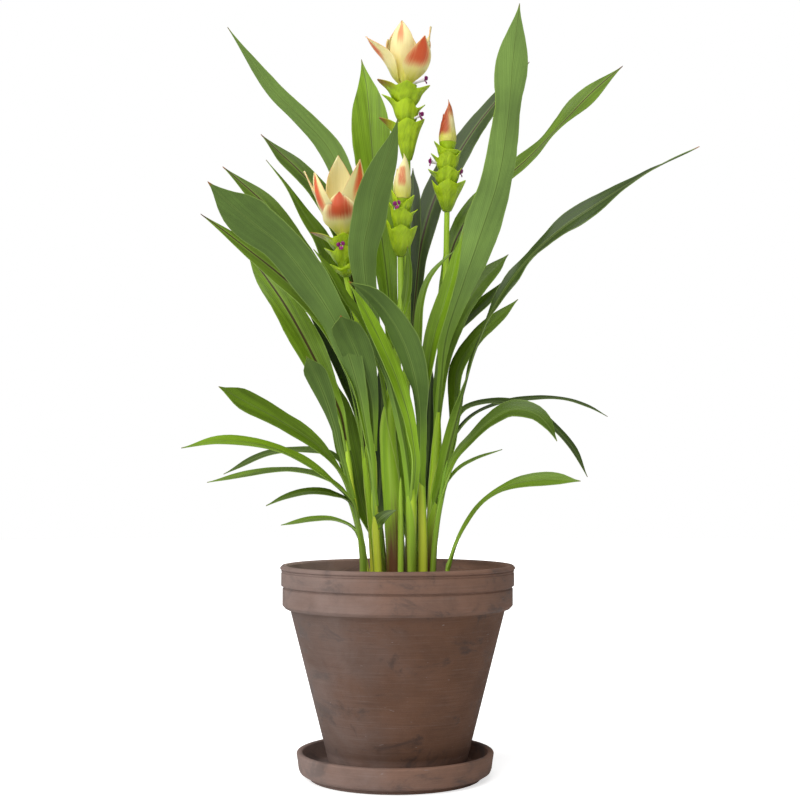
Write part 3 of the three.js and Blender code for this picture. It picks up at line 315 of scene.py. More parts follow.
             "turns": [130, 138, 132], "fold": 14, "wave": 0.8},
            {"name": "young_rolled", "from": 215, "tone": 0.78, "rib": 0, "tip": 0.3,
             "way": [(20, 250, -26), (24, 294, -28), (29, 320, -31), (36, 343, -35), (42, 363, -38),
                 (46, 380, -40), (50, 396, -42)],
             "widths": [3.4, 5, 8, 11, 14, 15, 13, 9, 0],
             "turns": [20, 20, 30], "fold": 38, "wave": 0.3},
            {"name": "young_thin", "from": 215, "tone": 0.48, "rib": 0, "tip": 0.3,
             "way": [(19, 280, -29), (18, 320, -32), (20, 346, -34), (26, 363, -35), (38, 377, -36),
                 (45, 383, -36)],
             "widths": [3.2, 4, 5, 7, 8, 9, 8, 5, 0],
             "turns": [50, 50], "fold": 25, "wave": 0.2},
        ],
    },
    {
        "name": "stem_right", "tone": 0.8, "redness": 1,
        "cane": [(25, 114, -4, 4.2), (25, 140, -4, 4.4), (27.5, 199, -4, 5.2), (30, 236, -4, 5.4),
            (31, 262, -4, 4.5), (32, 285, 0, 2.8), (34, 320, 5, 2.4), (37, 365, 8, 2.2), (38, 410, 8, 2)],
        "leaves": [
            {"name": "tallest", "from": 255, "tone": 0.96, "rib": 0, "tip": 0.3,
             "way": [(33, 285, -9), (37, 318, -12), (50, 358, -16), (64, 398, -22), (76, 436, -29),
                 (83, 480, -38), (87, 525, -49), (92, 566, -60)],
             "widths": [3.4, 5, 13, 24, 28, 26, 24, 24, 0],
             "turns": [160, 160, 160, 160, 158, 148, 140, 158, 162], "fold": 9, "wave": 1},
            {"name": "long_arching", "from": 188, "tone": 0.08, "rib": 0.4, "tip": 1,
             "way": [(34, 214, -13), (38, 234, -16), (44, 257, -17), (51, 282, -18), (58, 306, -20),
                 (73, 340, -24), (94, 371, -29), (121, 397, -34), (153, 419, -40), (188, 441, -48),
                 (224, 459, -57)],
             "widths": [5, 9.5, 8, 7.5, 11.5, 15.5, 17.5, 12.5, 0],
             "turns": [165, 155, 125, 70, 60, 55, 46, 80, 120], "fold": 12, "wave": 1.2},
            {"name": "right_upper", "from": 245, "tone": 0.49, "rib": 1, "tip": 0.4,
             "way": [(33, 300, 10), (36, 345, 20), (43, 385, 28), (58, 412, 36), (78, 432, 45),
                 (101, 453, 55), (124, 477, 67), (146, 500, 80), (168, 519, 92)],
             "widths": [3.4, 5, 9, 14, 18, 21, 22, 20, 0],
             "turns": [50, 50, 50, 45, 39, 60, 72, 46, 40], "fold": 12, "wave": 0.8},
            {"name": "right_middle", "from": 240, "tone": 0.38, "rib": 0, "tip": 0.3,
             "way": [(34, 290, 2), (40, 315, 8), (50, 340, 15), (62, 357, 22), (74, 370, 29),
                 (83, 379, 35)],
             "widths": [3.4, 6, 10, 14, 17, 17.5, 17, 14.5, 0],
             "turns": [35, 35], "fold": 12, "wave": 0.6},
            {"name": "right_narrow", "from": 250, "tone": 0.57, "rib": 0, "tip": 0.3,
             "way": [(33, 290, 8), (41, 318, 15), (55, 334, 22), (69, 347, 29), (80, 360, 36)],
             "widths": [3.4, 5, 8, 11, 13, 13.5, 13, 11, 0],
             "turns": [50, 50], "fold": 14, "wave": 0.4},
            {"name": "right_short", "from": 195, "tone": 0.47, "rib": 0, "tip": 0.3,
             "way": [(42, 240, -9), (44, 270, 0), (46, 295, 8), (58, 315, 12), (74, 331, 18),
                 (90, 346, 25)],
             "widths": [3.4, 5, 8, 11, 14, 16, 17, 14, 0],
             "turns": [50, 50], "fold": 12, "wave": 0.5},
            {"name": "low_drooping", "from": 222, "tone": 0.1, "rib": 0.2, "tip": 0.3,
             "way": [(42, 252, -11), (50, 265, -5), (64, 270, 3), (82, 270, 12), (100, 264, 22),
                 (116, 252, 31), (130, 236, 39), (140, 216, 45)],
             "widths": [3.2, 4, 6, 8, 9, 9.5, 9, 7, 0],
             "turns": [60, 55, 50], "fold": 14, "wave": 0.4},
            {"name": "low_arch", "from": 218, "tone": 0.09, "rib": 0, "tip": 0.3,
             "way": [(44, 247, -6), (57, 261, 5), (75, 269, 17), (98, 273, 31), (122, 273, 45),
                 (142, 267, 57), (155, 260, 65)],
             "widths": [3.2, 3.5, 5, 6, 6.5, 6, 5, 4, 0],
             "turns": [70, 65, 60], "fold": 14, "wave": 0.3},
            {"name": "low_thin", "from": 195, "tone": 0.69, "rib": 0, "tip": 0.2,
             "way": [(44, 220, -10), (58, 229, -3), (78, 236, 5)],
             "widths": [3, 3.5, 4.5, 4.5, 3, 0],
             "turns": [60, 60], "fold": 14, "wave": 0},
        ],
    },
    {
        "name": "stem_back", "tone": 0.25, "redness": 0.4,
        "cane": [(15, 114, 30, 3.4), (15, 140, 30, 3.6), (14, 160, 30, 3.6), (6, 205, 30, 3.4),
            (5, 250, 29, 2.8)],
        "leaves": [
            {"name": "upright_bright", "from": 155, "tone": 0.86, "rib": 0.35, "tip": 0.3,
             "way": [(4, 200, 26), (1, 245, 25), (-1, 300, 27), (-6, 360, 31), (-13, 415, 37),
                 (-17, 455, 44), (-19, 480, 50), (-21, 502, 56), (-25, 524, 63)],
             "widths": [3.4, 9, 12, 10, 13, 22, 28, 28, 0],
             "turns": [15, 10], "fold": 10, "wave": 1},
            {"name": "dark_tall", "from": 230, "tone": 0.11, "rib": 1, "tip": 0.3,
             "way": [(10, 300, 34), (15, 350, 39), (19, 385, 45), (29, 420, 53), (44, 449, 62),
                 (60, 474, 73), (79, 498, 85), (99, 522, 98)],
             "widths": [3.4, 5, 9, 15, 21, 24, 20, 13, 0],
             "turns": [30, 35, 40], "fold": 12, "wave": 0.8},
            # Painted shade: a nearly black leaf set in the deep shade among the stems.
            {"name": "shaded", "from": 150, "tone": 0.01, "rib": 0, "tip": 0.2,
             "way": [(17, 185, 24), (22, 215, 23), (24.5, 245, 24), (25.5, 275, 26), (26, 302, 30)],
             "widths": [4, 7, 10, 12, 12, 12, 10, 7, 0],
             "turns": [20, 20], "fold": 10, "wave": 0.3},
        ],
    },
    {
        "name": "stem_back_left", "tone": 0.25, "redness": 0.5,
        "cane": [(-9, 114, 26, 3.2), (-9, 145, 26, 3.4), (-11, 180, 27, 3), (-20, 230, 28, 2.6)],
        "leaves": [
            {"name": "long_grey", "from": 220, "tone": 0.74, "rib": 0, "tip": 0.4,
             "way": [(-23, 300, 33), (-27, 360, 38), (-35, 420, 40), (-48, 456, 39), (-68, 479, 35),
                 (-90, 501, 29), (-110, 528, 20), (-124, 548, 12)],
             "widths": [3.4, 4, 7, 13, 18, 20.5, 17.5, 12, 0],
             "turns": [140, 146, 146], "fold": 10, "wave": 0.7},
            {"name": "maroon_rib", "from": 210, "tone": 0.28, "rib": 1, "tip": 0.6,
             "way": [(-24, 290, 32), (-30, 350, 35), (-40, 395, 41), (-55, 423, 49), (-72, 442, 59),
                 (-86, 455, 69), (-99, 468, 79)],
             "widths": [3.4, 4, 7, 12, 17, 20, 20, 16, 0],
             "turns": [40, 40], "fold": 12, "wave": 0.6},
            {"name": "thin_tipped", "from": 215, "tone": 0.49, "rib": 0, "tip": 0.3,
             "way": [(-30, 300, 33), (-42, 352, 38), (-54, 389, 45), (-67, 409, 52), (-80, 430, 60),
                 (-95, 449, 68)],
             "widths": [3.4, 4, 8, 13, 17, 18, 13, 5, 0],
             "turns": [30, 30, 50], "fold": 12, "wave": 0.5},
            # Painted shade: a nearly black leaf set in the deep shade among the stems.
            {"name": "shaded_left", "from": 150, "tone": 0, "rib": 0, "tip": 0.2,
             "way": [(-13, 185, 20), (-10.5, 215, 17), (-9.5, 245, 17), (-9.5, 275, 19), (-11, 303, 22)],
             "widths": [4, 7, 10, 12, 12, 12, 11, 8, 0],
             "turns": [20, 20], "fold": 10, "wave": 0.3},
            {"name": "dark_low", "from": 160, "tone": 0.36, "rib": 0, "tip": 0.2,
             "way": [(-24, 196, 24), (-30, 225, 21), (-36, 248, 21), (-40, 265, 25), (-43, 285, 32)],
             "widths": [3.4, 6, 12, 18, 22, 23, 20, 14, 0],
             "turns": [20, 15], "fold": 10, "wave": 0.6},
        ],
    },
    {
        "name": "stem_low_right", "tone": 0.25, "redness": 0.3,
        "cane": [(27, 114, -22, 1.9), (27, 140, -22, 2), (29, 170, -22, 2), (33, 200, -22, 2),
            (38, 228, -22, 1.9)],
        "leaves": [
            {"name": "low_bright", "from": 200, "tone": 0.22, "rib": 0, "tip": 0.2,
             "way": [(44, 230, -27), (56, 244, -32), (70, 257, -38), (86, 265, -47), (102, 262, -56),
                 (111, 254, -62), (118, 242, -66)],
             "widths": [3.4, 4, 6, 9, 14, 17, 16, 11, 0],
             "turns": [50, 45], "fold": 12, "wave": 0.7},
        ],
    },
    {
        "name": "stem_low_curved", "tone": 0.25, "redness": 0.1,
        "cane": [(37, 114, -24, 1.7), (37, 140, -24, 1.8), (39, 156, -25, 1.5)],
        "leaves": [
            {"name": "low_curved", "from": 150, "tone": 0.44, "rib": 0.2, "tip": 0.3,
             "way": [(43.5, 166, -27), (51, 181, -31), (60, 194, -39), (72, 204, -47), (88, 211, -57),
                 (110, 214, -69), (135, 213, -82)],
             "widths": [3.2, 3.4, 4, 5, 7, 10, 12.5, 11.5, 0],
             "turns": [70, 52, 45], "fold": 12, "wave": 0.5},
        ],
    },
    {
        "name": "stem_spear", "tone": 0.5, "redness": 0.1,
        "cane": [(4, 114, -29, 1.9), (4, 140, -29, 2.1), (4, 185, -29, 1.9), (4, 205, -29, 1.3),
            (4, 216, -30, 0.5)],
        "leaves": [],
    },
]

# Each bloom has its stem, the point that it leans towards, and its parts as they are laid out upright from
# its foot, with azimuths from 0 on the right to -90 in front. The cups of its core are (radius, height). Its
# green bracts and the pale ones of its crown are (azimuth, height of the foot, radius of the belly, radius of
# the tip, rise, width). A bud is the (radius, rise) outline of a closed crown. Florets are (azimuth, height,
# radius).
BLOOMS = [
    {
        "name": "bloom_top", "stem": "stem_top_bloom", "top": (6.4, 554, 5),
        "cups": [(2.4, 0), (4.7, 8), (7, 18), (7.8, 27), (5.4, 29), (6.6, 38), (7.4, 44), (6, 46),
            (7.8, 51), (8.4, 56)],
        "bracts": [(-20, 19, 9.5, 14, 11, 16), (-166, 17, 12, 21, 15, 16), (-88, 20, 9, 10.5, 10, 14),
            (84, 20, 9, 11, 11, 16), (-174, 35, 11, 18, 15, 14), (5, 31, 9.5, 14.5, 11, 12),
            (-90, 36, 8.8, 10, 9, 14), (88, 34, 8.8, 10.5, 11, 14), (-160, 46, 13.5, 22.5, 14, 19),
            (-12, 44, 12.5, 18.5, 11, 18), (-86, 47, 11.5, 14, 10, 17), (84, 46, 11.5, 15, 12, 18)],
        "crown": [(-160, 57, 17, 30, 34, 19), (-106, 57, 11, 5, 47, 22), (-48, 57, 20, 22, 32, 25),
            (4, 57, 17, 20, 44, 20), (34, 57, 18, 22, 40, 18), (80, 57, 13, 9, 45, 20),
            (125, 57, 13, 11, 45, 20), (160, 57, 14, 13, 36, 18)],
        "florets": [(-22, 58, 15), (-35, 31, 12)],
    },
    {
        "name": "bloom_left", "stem": "stem_left_bloom", "top": (-41.5, 453, 3),
        "cups": [(2.2, 0), (5, 4), (7.6, 9), (8, 13), (6.4, 14.5), (8.6, 20), (9, 24), (7, 25.5), (8, 30)],
        "bracts": [(-176, 3, 10, 14.5, 8, 13), (-30, 3, 9, 11, 9, 14), (80, 4, 9, 10, 8, 14),
            (-172, 12, 11, 15, 10, 15), (-4, 13, 10, 13, 9, 15), (-92, 14, 10, 11, 9, 15),
            (84, 13, 10, 11, 9, 15), (-168, 22, 13.5, 24.5, 12, 18), (-8, 22, 12, 18, 11, 17),
            (-88, 21, 11.5, 13.5, 10, 17), (84, 21, 11.5, 14.5, 10, 18)],
        "crown": [(176, 31, 19, 26.5, 50, 17), (-150, 31, 19, 21, 46, 21), (-94, 31, 17, 15, 30, 30),
            (-42, 31, 17, 21, 53, 23), (-5, 31, 20, 26, 54, 19), (48, 31, 17, 18, 50, 21),
            (98, 31, 12, 6, 61, 25), (142, 31, 18, 20, 42, 20)],
        "florets": [(-100, 21, 10.5)],
    },
    {
        "name": "bloom_middle", "stem": "stem_centre", "top": (6, 453, -15),
        "cups": [(2.4, 0), (5.2, 6), (7.8, 13), (9, 21), (6, 23), (6.6, 30), (7, 34), (5.2, 36), (5.6, 42)],
        "bracts": [(-10, 14, 9.8, 11.5, 9, 13), (172, 16, 10, 12, 13, 13), (-92, 14, 9.8, 10.8, 8, 12),
            (86, 14, 9.8, 10.8, 9, 12), (2, 26, 8.2, 11.5, 9, 11), (182, 29, 8.6, 12.6, 13, 11),
            (-92, 27, 8, 9, 8, 11), (88, 27, 8, 9, 9, 11), (176, 37, 7.6, 8.8, 14, 10),
            (-12, 36, 7.4, 8.8, 9, 10)],
        "bud": [(5.2, 0), (5.8, 8), (5.4, 15), (3.8, 24), (1.8, 30), (0, 33)],
        "florets": [(-118, 36, 6.5)],
    },
    {
        "name": "bloom_right", "stem": "stem_right", "top": (39, 495, 8),
        "cups": [(2.2, 0), (5.2, 7), (8.2, 15), (9.2, 22), (6.6, 24), (7.2, 30), (7.6, 34), (6, 36),
            (7, 43), (7.2, 46), (5.6, 47), (6.4, 52)],
        "bracts": [(-18, 14, 10.4, 14, 9, 14), (176, 13, 10, 11.4, 11, 13), (-88, 14, 10, 11, 9, 13),
            (78, 14, 10, 11, 9, 13), (184, 22, 9.4, 14.4, 10, 12), (-4, 24, 8.8, 10.4, 9, 11),
            (-92, 25, 8.6, 9.6, 8, 11), (88, 24, 8.6, 9.6, 9, 11), (178, 34, 9, 12.4, 10, 11),
            (-6, 35, 8.4, 9.6, 11, 11), (-92, 35, 8.2, 9.2, 9, 11), (88, 35, 8.2, 9.2, 9, 11),
            (182, 44, 7.8, 10, 9, 10)],
        "bud": [(5.6, 0), (5.9, 4), (5, 11), (4.1, 17), (2.6, 25), (0, 32)],
        "florets": [(-165, 36, 12), (-16, 28, 9.5)],
    },
]

# The orange-red patches of the crowns' bracts, in the order of the crown tables: (strength, heights along the
# bract where it fades in and ends, place across, half its width, how dark it is).
BLUSH = {
    "bloom_top": [
        (0.85, 0.3, 1.3, -0.35, 0.9, 0.15), (0.75, 0.4, 1.3, 0, 0.55, 0.1), (1, 0.2, 1.3, -0.2, 1.35, 0.3),
        (0.5, 0.6, 1, 0, 0.9, 0.5), (0.5, 0.55, 1, 0.4, 0.8, 0.4), (0.45, 0.6, 1, 0, 0.9, 0.5),
        (0.5, 0.7, 1, 0, 1, 0.4), (0.6, 0.5, 1, 0, 0.9, 0.4),
    ],
    "bloom_left": [
        (0.7, 0.5, 1.3, 0, 0.9, 0.3), (0.95, 0.2, 1.0, 0, 0.75, 0.1), (1, 0.2, 1.3, 0, 1.15, 0.55),
        (0.95, 0.3, 1.0, 0.1, 0.8, 0.1), (0.6, 0.5, 1, 0, 0.8, 0.3), (0.5, 0.6, 0.95, 0, 0.6, 0.2),
        (0.35, 0.75, 1, 0, 0.5, 0.1), (0.5, 0.5, 1, 0, 0.8, 0.3),
    ],
}
# The same for a bud: (strength, heights, azimuth, half its width round the bud, how dark it is).
BUD_BLUSH = {
    "bloom_middle": (0.7, 0.12, 0.72, -95, 48, 0.35),
    "bloom_right": (0.9, 0.02, 1.2, -150, 120, 0.9),
}

# A point of a sheet: its place, how far it lies across and along the surface, what its finish reads there,
# and its share of the sheet's thickness. A finish reads a tone, a stain (redness or blush), a tip (how dry a
# leaf's tip is, or how dark a blush), and the shares along and across the sheet.
Spot = collections.namedtuple("Spot", "point reach tone stain tip along across thick", defaults=(1,))
MARKS = ("tone", "stain", "tip", "along", "across")


def linear(text):
    """The linear colour of a hex one."""
    parts = [int(text[i : i + 2], 16) / 255 for i in (0, 2, 4)]
    return tuple(p / 12.92 if p <= 0.04045 else ((p + 0.055) / 1.055) ** 2.4 for p in parts)


def colour(name, description, text):
    return bpy.props.FloatVectorProperty(
        name=name, description=description, subtype="COLOR", size=3, min=0, max=1, default=linear(text)
    )


def length(name, description, millimetres):
    return bpy.props.FloatProperty(
        name=name, description=description, subtype="DISTANCE", unit="LENGTH", min=0, default=millimetres * MM
    )


def degrees(name, description, value):
    return bpy.props.FloatProperty(
        name=name, description=description, subtype="ANGLE", unit="ROTATION", default=math.radians(value)
    )


def share(name, description, value):
    return bpy.props.FloatProperty(
        name=name, description=description, subtype="FACTOR", min=0, max=1, default=value
    )


def count(name, description, value):
    return bpy.props.IntProperty(name=name, description=description, min=1, default=value)


class ClaySettings(bpy.types.PropertyGroup):
    """The pot and saucer."""

    body: colour("Body", "Main colour of the fired clay", "5b4439")
    # The pale is the colour of real dusty patches, streaks and scratches, and also of painted light on the
    # pot's lit left.
    pale: colour("Pale", "Colour of the pale dusty patches and scratches", "857a76")
    dark: colour("Dark", "Colour of the dark scuffs and streaks", "3a2b25")
    # Painted shade: the warm brown is painted on the pot's shaded right side.
    shaded_side: colour("Warm", "Warmer brown of the less dusty side", "5e4130")
    sides: count("Sides", "Facets round the pot and the saucer", 128)
    rounding: length("Rounding", "Radius of the rounded corners", 0.5)
    grain: length("Grain", "Depth of the clay's grain", 0.12)


class SoilSettings(bpy.types.PropertyGroup):
    """The potting soil."""

    damp: colour("Damp", "Colour of the damp soil", "2a1d14")
    dry: colour("Dry", "Colour of the dry crumbs", "5a4330")
    lump: length("Lumps", "Height of the lumps", 1.6)
    crumbs: count("Crumbs", "How many loose crumbs lie on the soil", 220)
    crumb: length("Crumb size", "Radius of a large crumb", 2.2)


class LeafSettings(bpy.types.PropertyGroup):
    """The leaf blades."""

    # The deep greens are partly painted shade, for the leaves that lie in shadow.
    deep: colour("Deep green", "Upper face of the darkest leaf", "22320a")
    bright: colour("Bright green", "Upper face of the brightest leaf", "7b9f1c")
    under_deep: colour("Deep underside", "Underside of the darkest leaf", "33491a")
    under_bright: colour("Bright underside", "Underside of the brightest leaf", "7c9a4e")
    rib: colour("Rib", "Maroon line along the rib", "3a1912")
    margin: colour("Margin", "Pale line along the edges", "9cb85c")
    tip: colour("Tip", "Dry tips", "96602e")
    vein: length("Vein spacing", "Distance between two fine veins", 1.25)
    relief: length("Vein depth", "Depth of the fine veins", 0.05)


class StalkSettings(bpy.types.PropertyGroup):
    """The canes and the sheaths round them."""

    deep: colour("Deep green", "Darkest cane", "5a8222")
    bright: colour("Bright green", "Brightest cane", "b2da26")
    pale: colour("Pale streak", "Streaks along the sheaths", "bccb70")
    red: colour("Red foot", "Reddish-brown foot of the canes", "5a2a1c")
    yellow: colour("Yellow foot", "Yellowed foot of the brightest sheaths", "e6da3e")
    layer: length("Sheath thickness", "Thickness of a leaf sheath", 0.45)


class BloomSettings(bpy.types.PropertyGroup):
    """The blooms."""

    green: colour("Green bract", "Lit side of a green bract", "a9c61e")
    # Painted shade: the deep green darkens the pockets of the green bracts.
    deep: colour("Deep green", "Depth of a green bract's pocket", "5f7d0c")
    brown: colour("Brown tip", "Tips of the green bracts", "8a4a24")
    cream: colour("Cream", "Pale bracts of the crown", "f7e6a4")
    base: colour("Foot of the crown", "Yellow-green foot of the pale bracts", "d6d24c")
    blush: colour("Blush", "Orange-red patches", "e2603c")
    wine: colour("Dark blush", "Darkest patches", "a8401f")
    floret: colour("Floret", "Lips of the tiny flowers", "981f74")
    tube: colour("Floret tube", "White tubes of the tiny flowers", "f1e9f2")


class StageSettings(bpy.types.PropertyGroup):
    """The floor, the lights and the camera."""

    floor: colour("Floor", "Colour of the floor", "f4f4f4")
    glow: share("Floor glow", "Brightness that the floor adds to what the eye sees of it", 0.62)
    backdrop: share("Backdrop", "Brightness of the white backdrop", 1)
    sky: share("Sky", "Strength of the even light all round", 0.36)
    key: bpy.props.FloatProperty(
        name="Key", description="Strength of the broad main light", min=0, default=3.4
    )
    breadth: degrees("Breadth", "How broad the main light is", 70)
    lens: bpy.props.FloatProperty(
        name="Lens", description="Focal length", subtype="DISTANCE_CAMERA", unit="CAMERA", default=67.5
    )
    pitch: degrees("Pitch", "Upward tilt of the camera", 2.8)


def clamp(value, low=0, high=1):
    return min(max(value, low), high)


def lerp(low, high, part):
    return low + (high - low) * part


def step(value, low, high):
    """A smooth step from 0 at low to 1 at high."""
    part = clamp((value - low) / (high - low))
    return part * part * (3 - 2 * part)


def hump(value, middle, spread):
    return math.exp(-(((value - middle) / spread) ** 2))


def smooth(values, part):
    """A smooth curve through values at equal shares, read at one share."""
    last = len(values) - 1
    place = part * last
    first = min(int(place), last - 1)
    t = place - first
    a, b, c, d = (values[clamp(first + k, 0, last)] for k in (-1, 0, 1, 2))
    return b + 0.5 * t * (c - a + t * (2 * a - 5 * b + 4 * c - d + t * (3 * (b - c) + d - a)))


def seed_of(name):
    return sum(map(ord, name))


def seen(row):
    """Where a point of the layout is: on the line from the eye through its place in the upright plane."""
    flat = Vector((row[0], 0, row[1]))
    return EYE + (flat - EYE) * ((row[2] - EYE.y) / -EYE.y)


def off_axis(centre, radius, turn):
    """The point at a radius from an upright axis."""
    return centre + Vector((math.cos(turn), math.sin(turn), 0)) * radius


def capped(along, steps):
    """The share of a tube's length at a row of its grid, and whether the row closes an end flat."""
    row = round(along * steps)
    return clamp((row - 1) / (steps - 2)), row in (0, steps)


def grey(value):
    return (value, value, value)


def toned(shade, factor):
    """A colour made darker or brighter."""
    return [part * factor for part in shade]


class Way:
    """A smooth centripetal curve through points, read by knots or at equal shares of its length."""

    SPANS = 200

    def __init__(self, points):
        self.spans = len(points) - 1
        self.points = [2 * points[0] - points[1], *points, 2 * points[-1] - points[-2]]
        self.lengths = [0.0]
        before = self.knot(0)
        for i in range(1, self.SPANS + 1):
            here = self.knot(i / self.SPANS)
            self.lengths.append(self.lengths[-1] + (here - before).length)
            before = here
        self.length = self.lengths[-1]

    def knot(self, t):
        """The point at t, from 0 to 1, where the given points stand at equal steps of t."""
        place = clamp(t) * self.spans
        first = min(int(place), self.spans - 1)
        a, b, c, d = self.points[first : first + 4]
        middle = (c - b).length ** 0.5 or 1
        before = (b - a).length ** 0.5 or middle
        after = (d - c).length ** 0.5 or middle
        start = ((b - a) / before - (c - a) / (before + middle) + (c - b) / middle) * middle
        end = ((c - b) / middle - (d - b) / (middle + after) + (d - c) / after) * middle
        t = place - first
        return b + t * (start + t * (3 * (c - b) - 2 * start - end + t * (start + end - 2 * (c - b))))

    def spread(self, part):
        """The knot value at a share of the length."""
        target = part * self.length
        low, high = 0, self.SPANS
        while high - low > 1:
            middle = (low + high) // 2
            low, high = (middle, high) if self.lengths[middle] <= target else (low, middle)
        rest = (target - self.lengths[low]) / max(self.lengths[high] - self.lengths[low], 1e-9)
        return (low + rest) / self.SPANS

    def at(self, part):
        return self.knot(self.spread(part))

    def ahead(self, part):
        """The way forwards at a share of the length."""
        t = self.spread(part)
        return (self.knot(t + 1e-4) - self.knot(t - 1e-4)).normalized()


class Cane:
    """The axis and the radius of a stem's cane."""

    def __init__(self, rows):
        self.rows = rows
        self.path = Way([seen(row) for row in rows])
        self.radii = Way([Vector((row[3], seen(row).z, 0)) for row in rows])

    def at(self, t):
        return self.path.knot(t), self.radii.knot(t).x

    def at_height(self, height):
        low, high = 0.0, 1.0
        for _ in range(24):
            middle = (low + high) / 2
            low, high = (middle, high) if self.path.knot(middle).z < height else (low, middle)
        return self.at(low)

    def layout(self, up):
        """The place on the axis at a height of the layout, as (across, up, back)."""
        above = next(i for i, row in enumerate(self.rows) if row[1] >= up)
        low, high = self.rows[above - 1], self.rows[above]
        part = (up - low[1]) / (high[1] - low[1])
        return [lerp(low[k], high[k], part) for k in range(3)]


def deselect():
    bpy.ops.object.select_all(action="DESELECT")


def work_on(piece):
    deselect()
    piece.select_set(True)
    bpy.context.view_layer.objects.active = piece


def apply_modifier(piece, kind, **settings):
    work_on(piece)
    bpy.ops.object.modifier_add(type=kind)
    modifier = piece.modifiers[-1]
    for name, value in settings.items():
        setattr(modifier, name, value)
    bpy.ops.object.modifier_apply(modifier=modifier.name)


def weld(piece):
    """Closes a tube's seam and its ends, and turns its faces outwards."""
    work_on(piece)
    bpy.ops.object.mode_set(mode="EDIT")
    bpy.ops.mesh.select_all(action="SELECT")
    bpy.ops.mesh.remove_doubles(threshold=1e-6)
    bpy.ops.mesh.normals_make_consistent(inside=False)
    bpy.ops.object.mode_set(mode="OBJECT")


def sheet(name, strips, steps, shape, finishes, thickness=0, ring=False):
    """A grid laid over a surface, whose points are the Spots that shape(along, side) gives.

    A thickness gives it two faces, the second with the last of its finishes. A sheet without one is a tube,
    which is closed, and a ring is closed before it gets its thickness.
    """
    deselect()
    bpy.ops.mesh.primitive_grid_add(x_subdivisions=strips, y_subdivisions=steps, size=2, location=(0, 0, 0))
    piece = bpy.context.object
    piece.name = name
    mesh = piece.data
    spots = [shape((vertex.co.y + 1) / 2, vertex.co.x) for vertex in mesh.vertices]
    mesh.vertices.foreach_set("co", [c * MM for spot in spots for c in spot.point])
    for mark in MARKS:
        layer = mesh.attributes.new(mark, "FLOAT", "POINT")
        layer.data.foreach_set("value", [float(getattr(spot, mark)) for spot in spots])
    reach = [c * MM for loop in mesh.loops for c in spots[loop.vertex_index].reach]
    mesh.uv_layers[0].data.foreach_set("uv", reach)
    mesh.update()
    for finish in finishes:
        mesh.materials.append(finish)
    if ring or not thickness:
        weld(piece)
    if ring:
        apply_modifier(piece, "SOLIDIFY", thickness=thickness * MM, offset=0)
    elif thickness:
        group = piece.vertex_groups.new(name="thickness")
        for index, spot in enumerate(spots):
            group.add([index], spot.thick, "REPLACE")
        apply_modifier(
            piece, "SOLIDIFY", thickness=thickness * MM, offset=0, vertex_group=group.name,
            material_offset=len(finishes) - 1,
        )
        piece.vertex_groups.clear()
    return piece


def gather(pieces, name, node):
    """Joins the parts of a piece, which then stands for its node."""
    deselect()
    for piece in pieces:
        piece.select_set(True)
    whole = pieces[0]
    bpy.context.view_layer.objects.active = whole
    if len(pieces) > 1:
        bpy.ops.object.join()
    whole.name = name
    bpy.ops.object.shade_smooth_by_angle(angle=math.radians(40))
    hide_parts(node)
    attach(whole, "root")


def turned(name, outline, across, sides, rounding):
    """A turned piece: its outline is drawn edge by edge from a plane's middle and spun upright."""
    deselect()
    bpy.ops.mesh.primitive_plane_add(size=MM, location=(0, 0, 0))
    piece = bpy.context.object
    piece.name = name
    bpy.ops.object.mode_set(mode="EDIT")
    bpy.ops.mesh.select_all(action="SELECT")
    bpy.ops.mesh.merge(type="CENTER")
    points = [Vector((radius + across, 0, height)) * MM for radius, height in outline]
    bpy.ops.transform.translate(value=points[0])
    for here, there in zip(points, points[1:]):
        bpy.ops.mesh.extrude_region_move(TRANSFORM_OT_translate={"value": there - here})
    bpy.ops.mesh.select_all(action="SELECT")
    bpy.ops.mesh.spin(steps=sides, angle=math.tau, center=(across * MM, 0, 0), axis=(0, 0, 1))
    bpy.ops.object.mode_set(mode="OBJECT")
    weld(piece)
    if rounding:
        apply_modifier(
            piece, "BEVEL", width=rounding, segments=2, limit_method="ANGLE", angle_limit=math.radians(30),
        )
    return piece


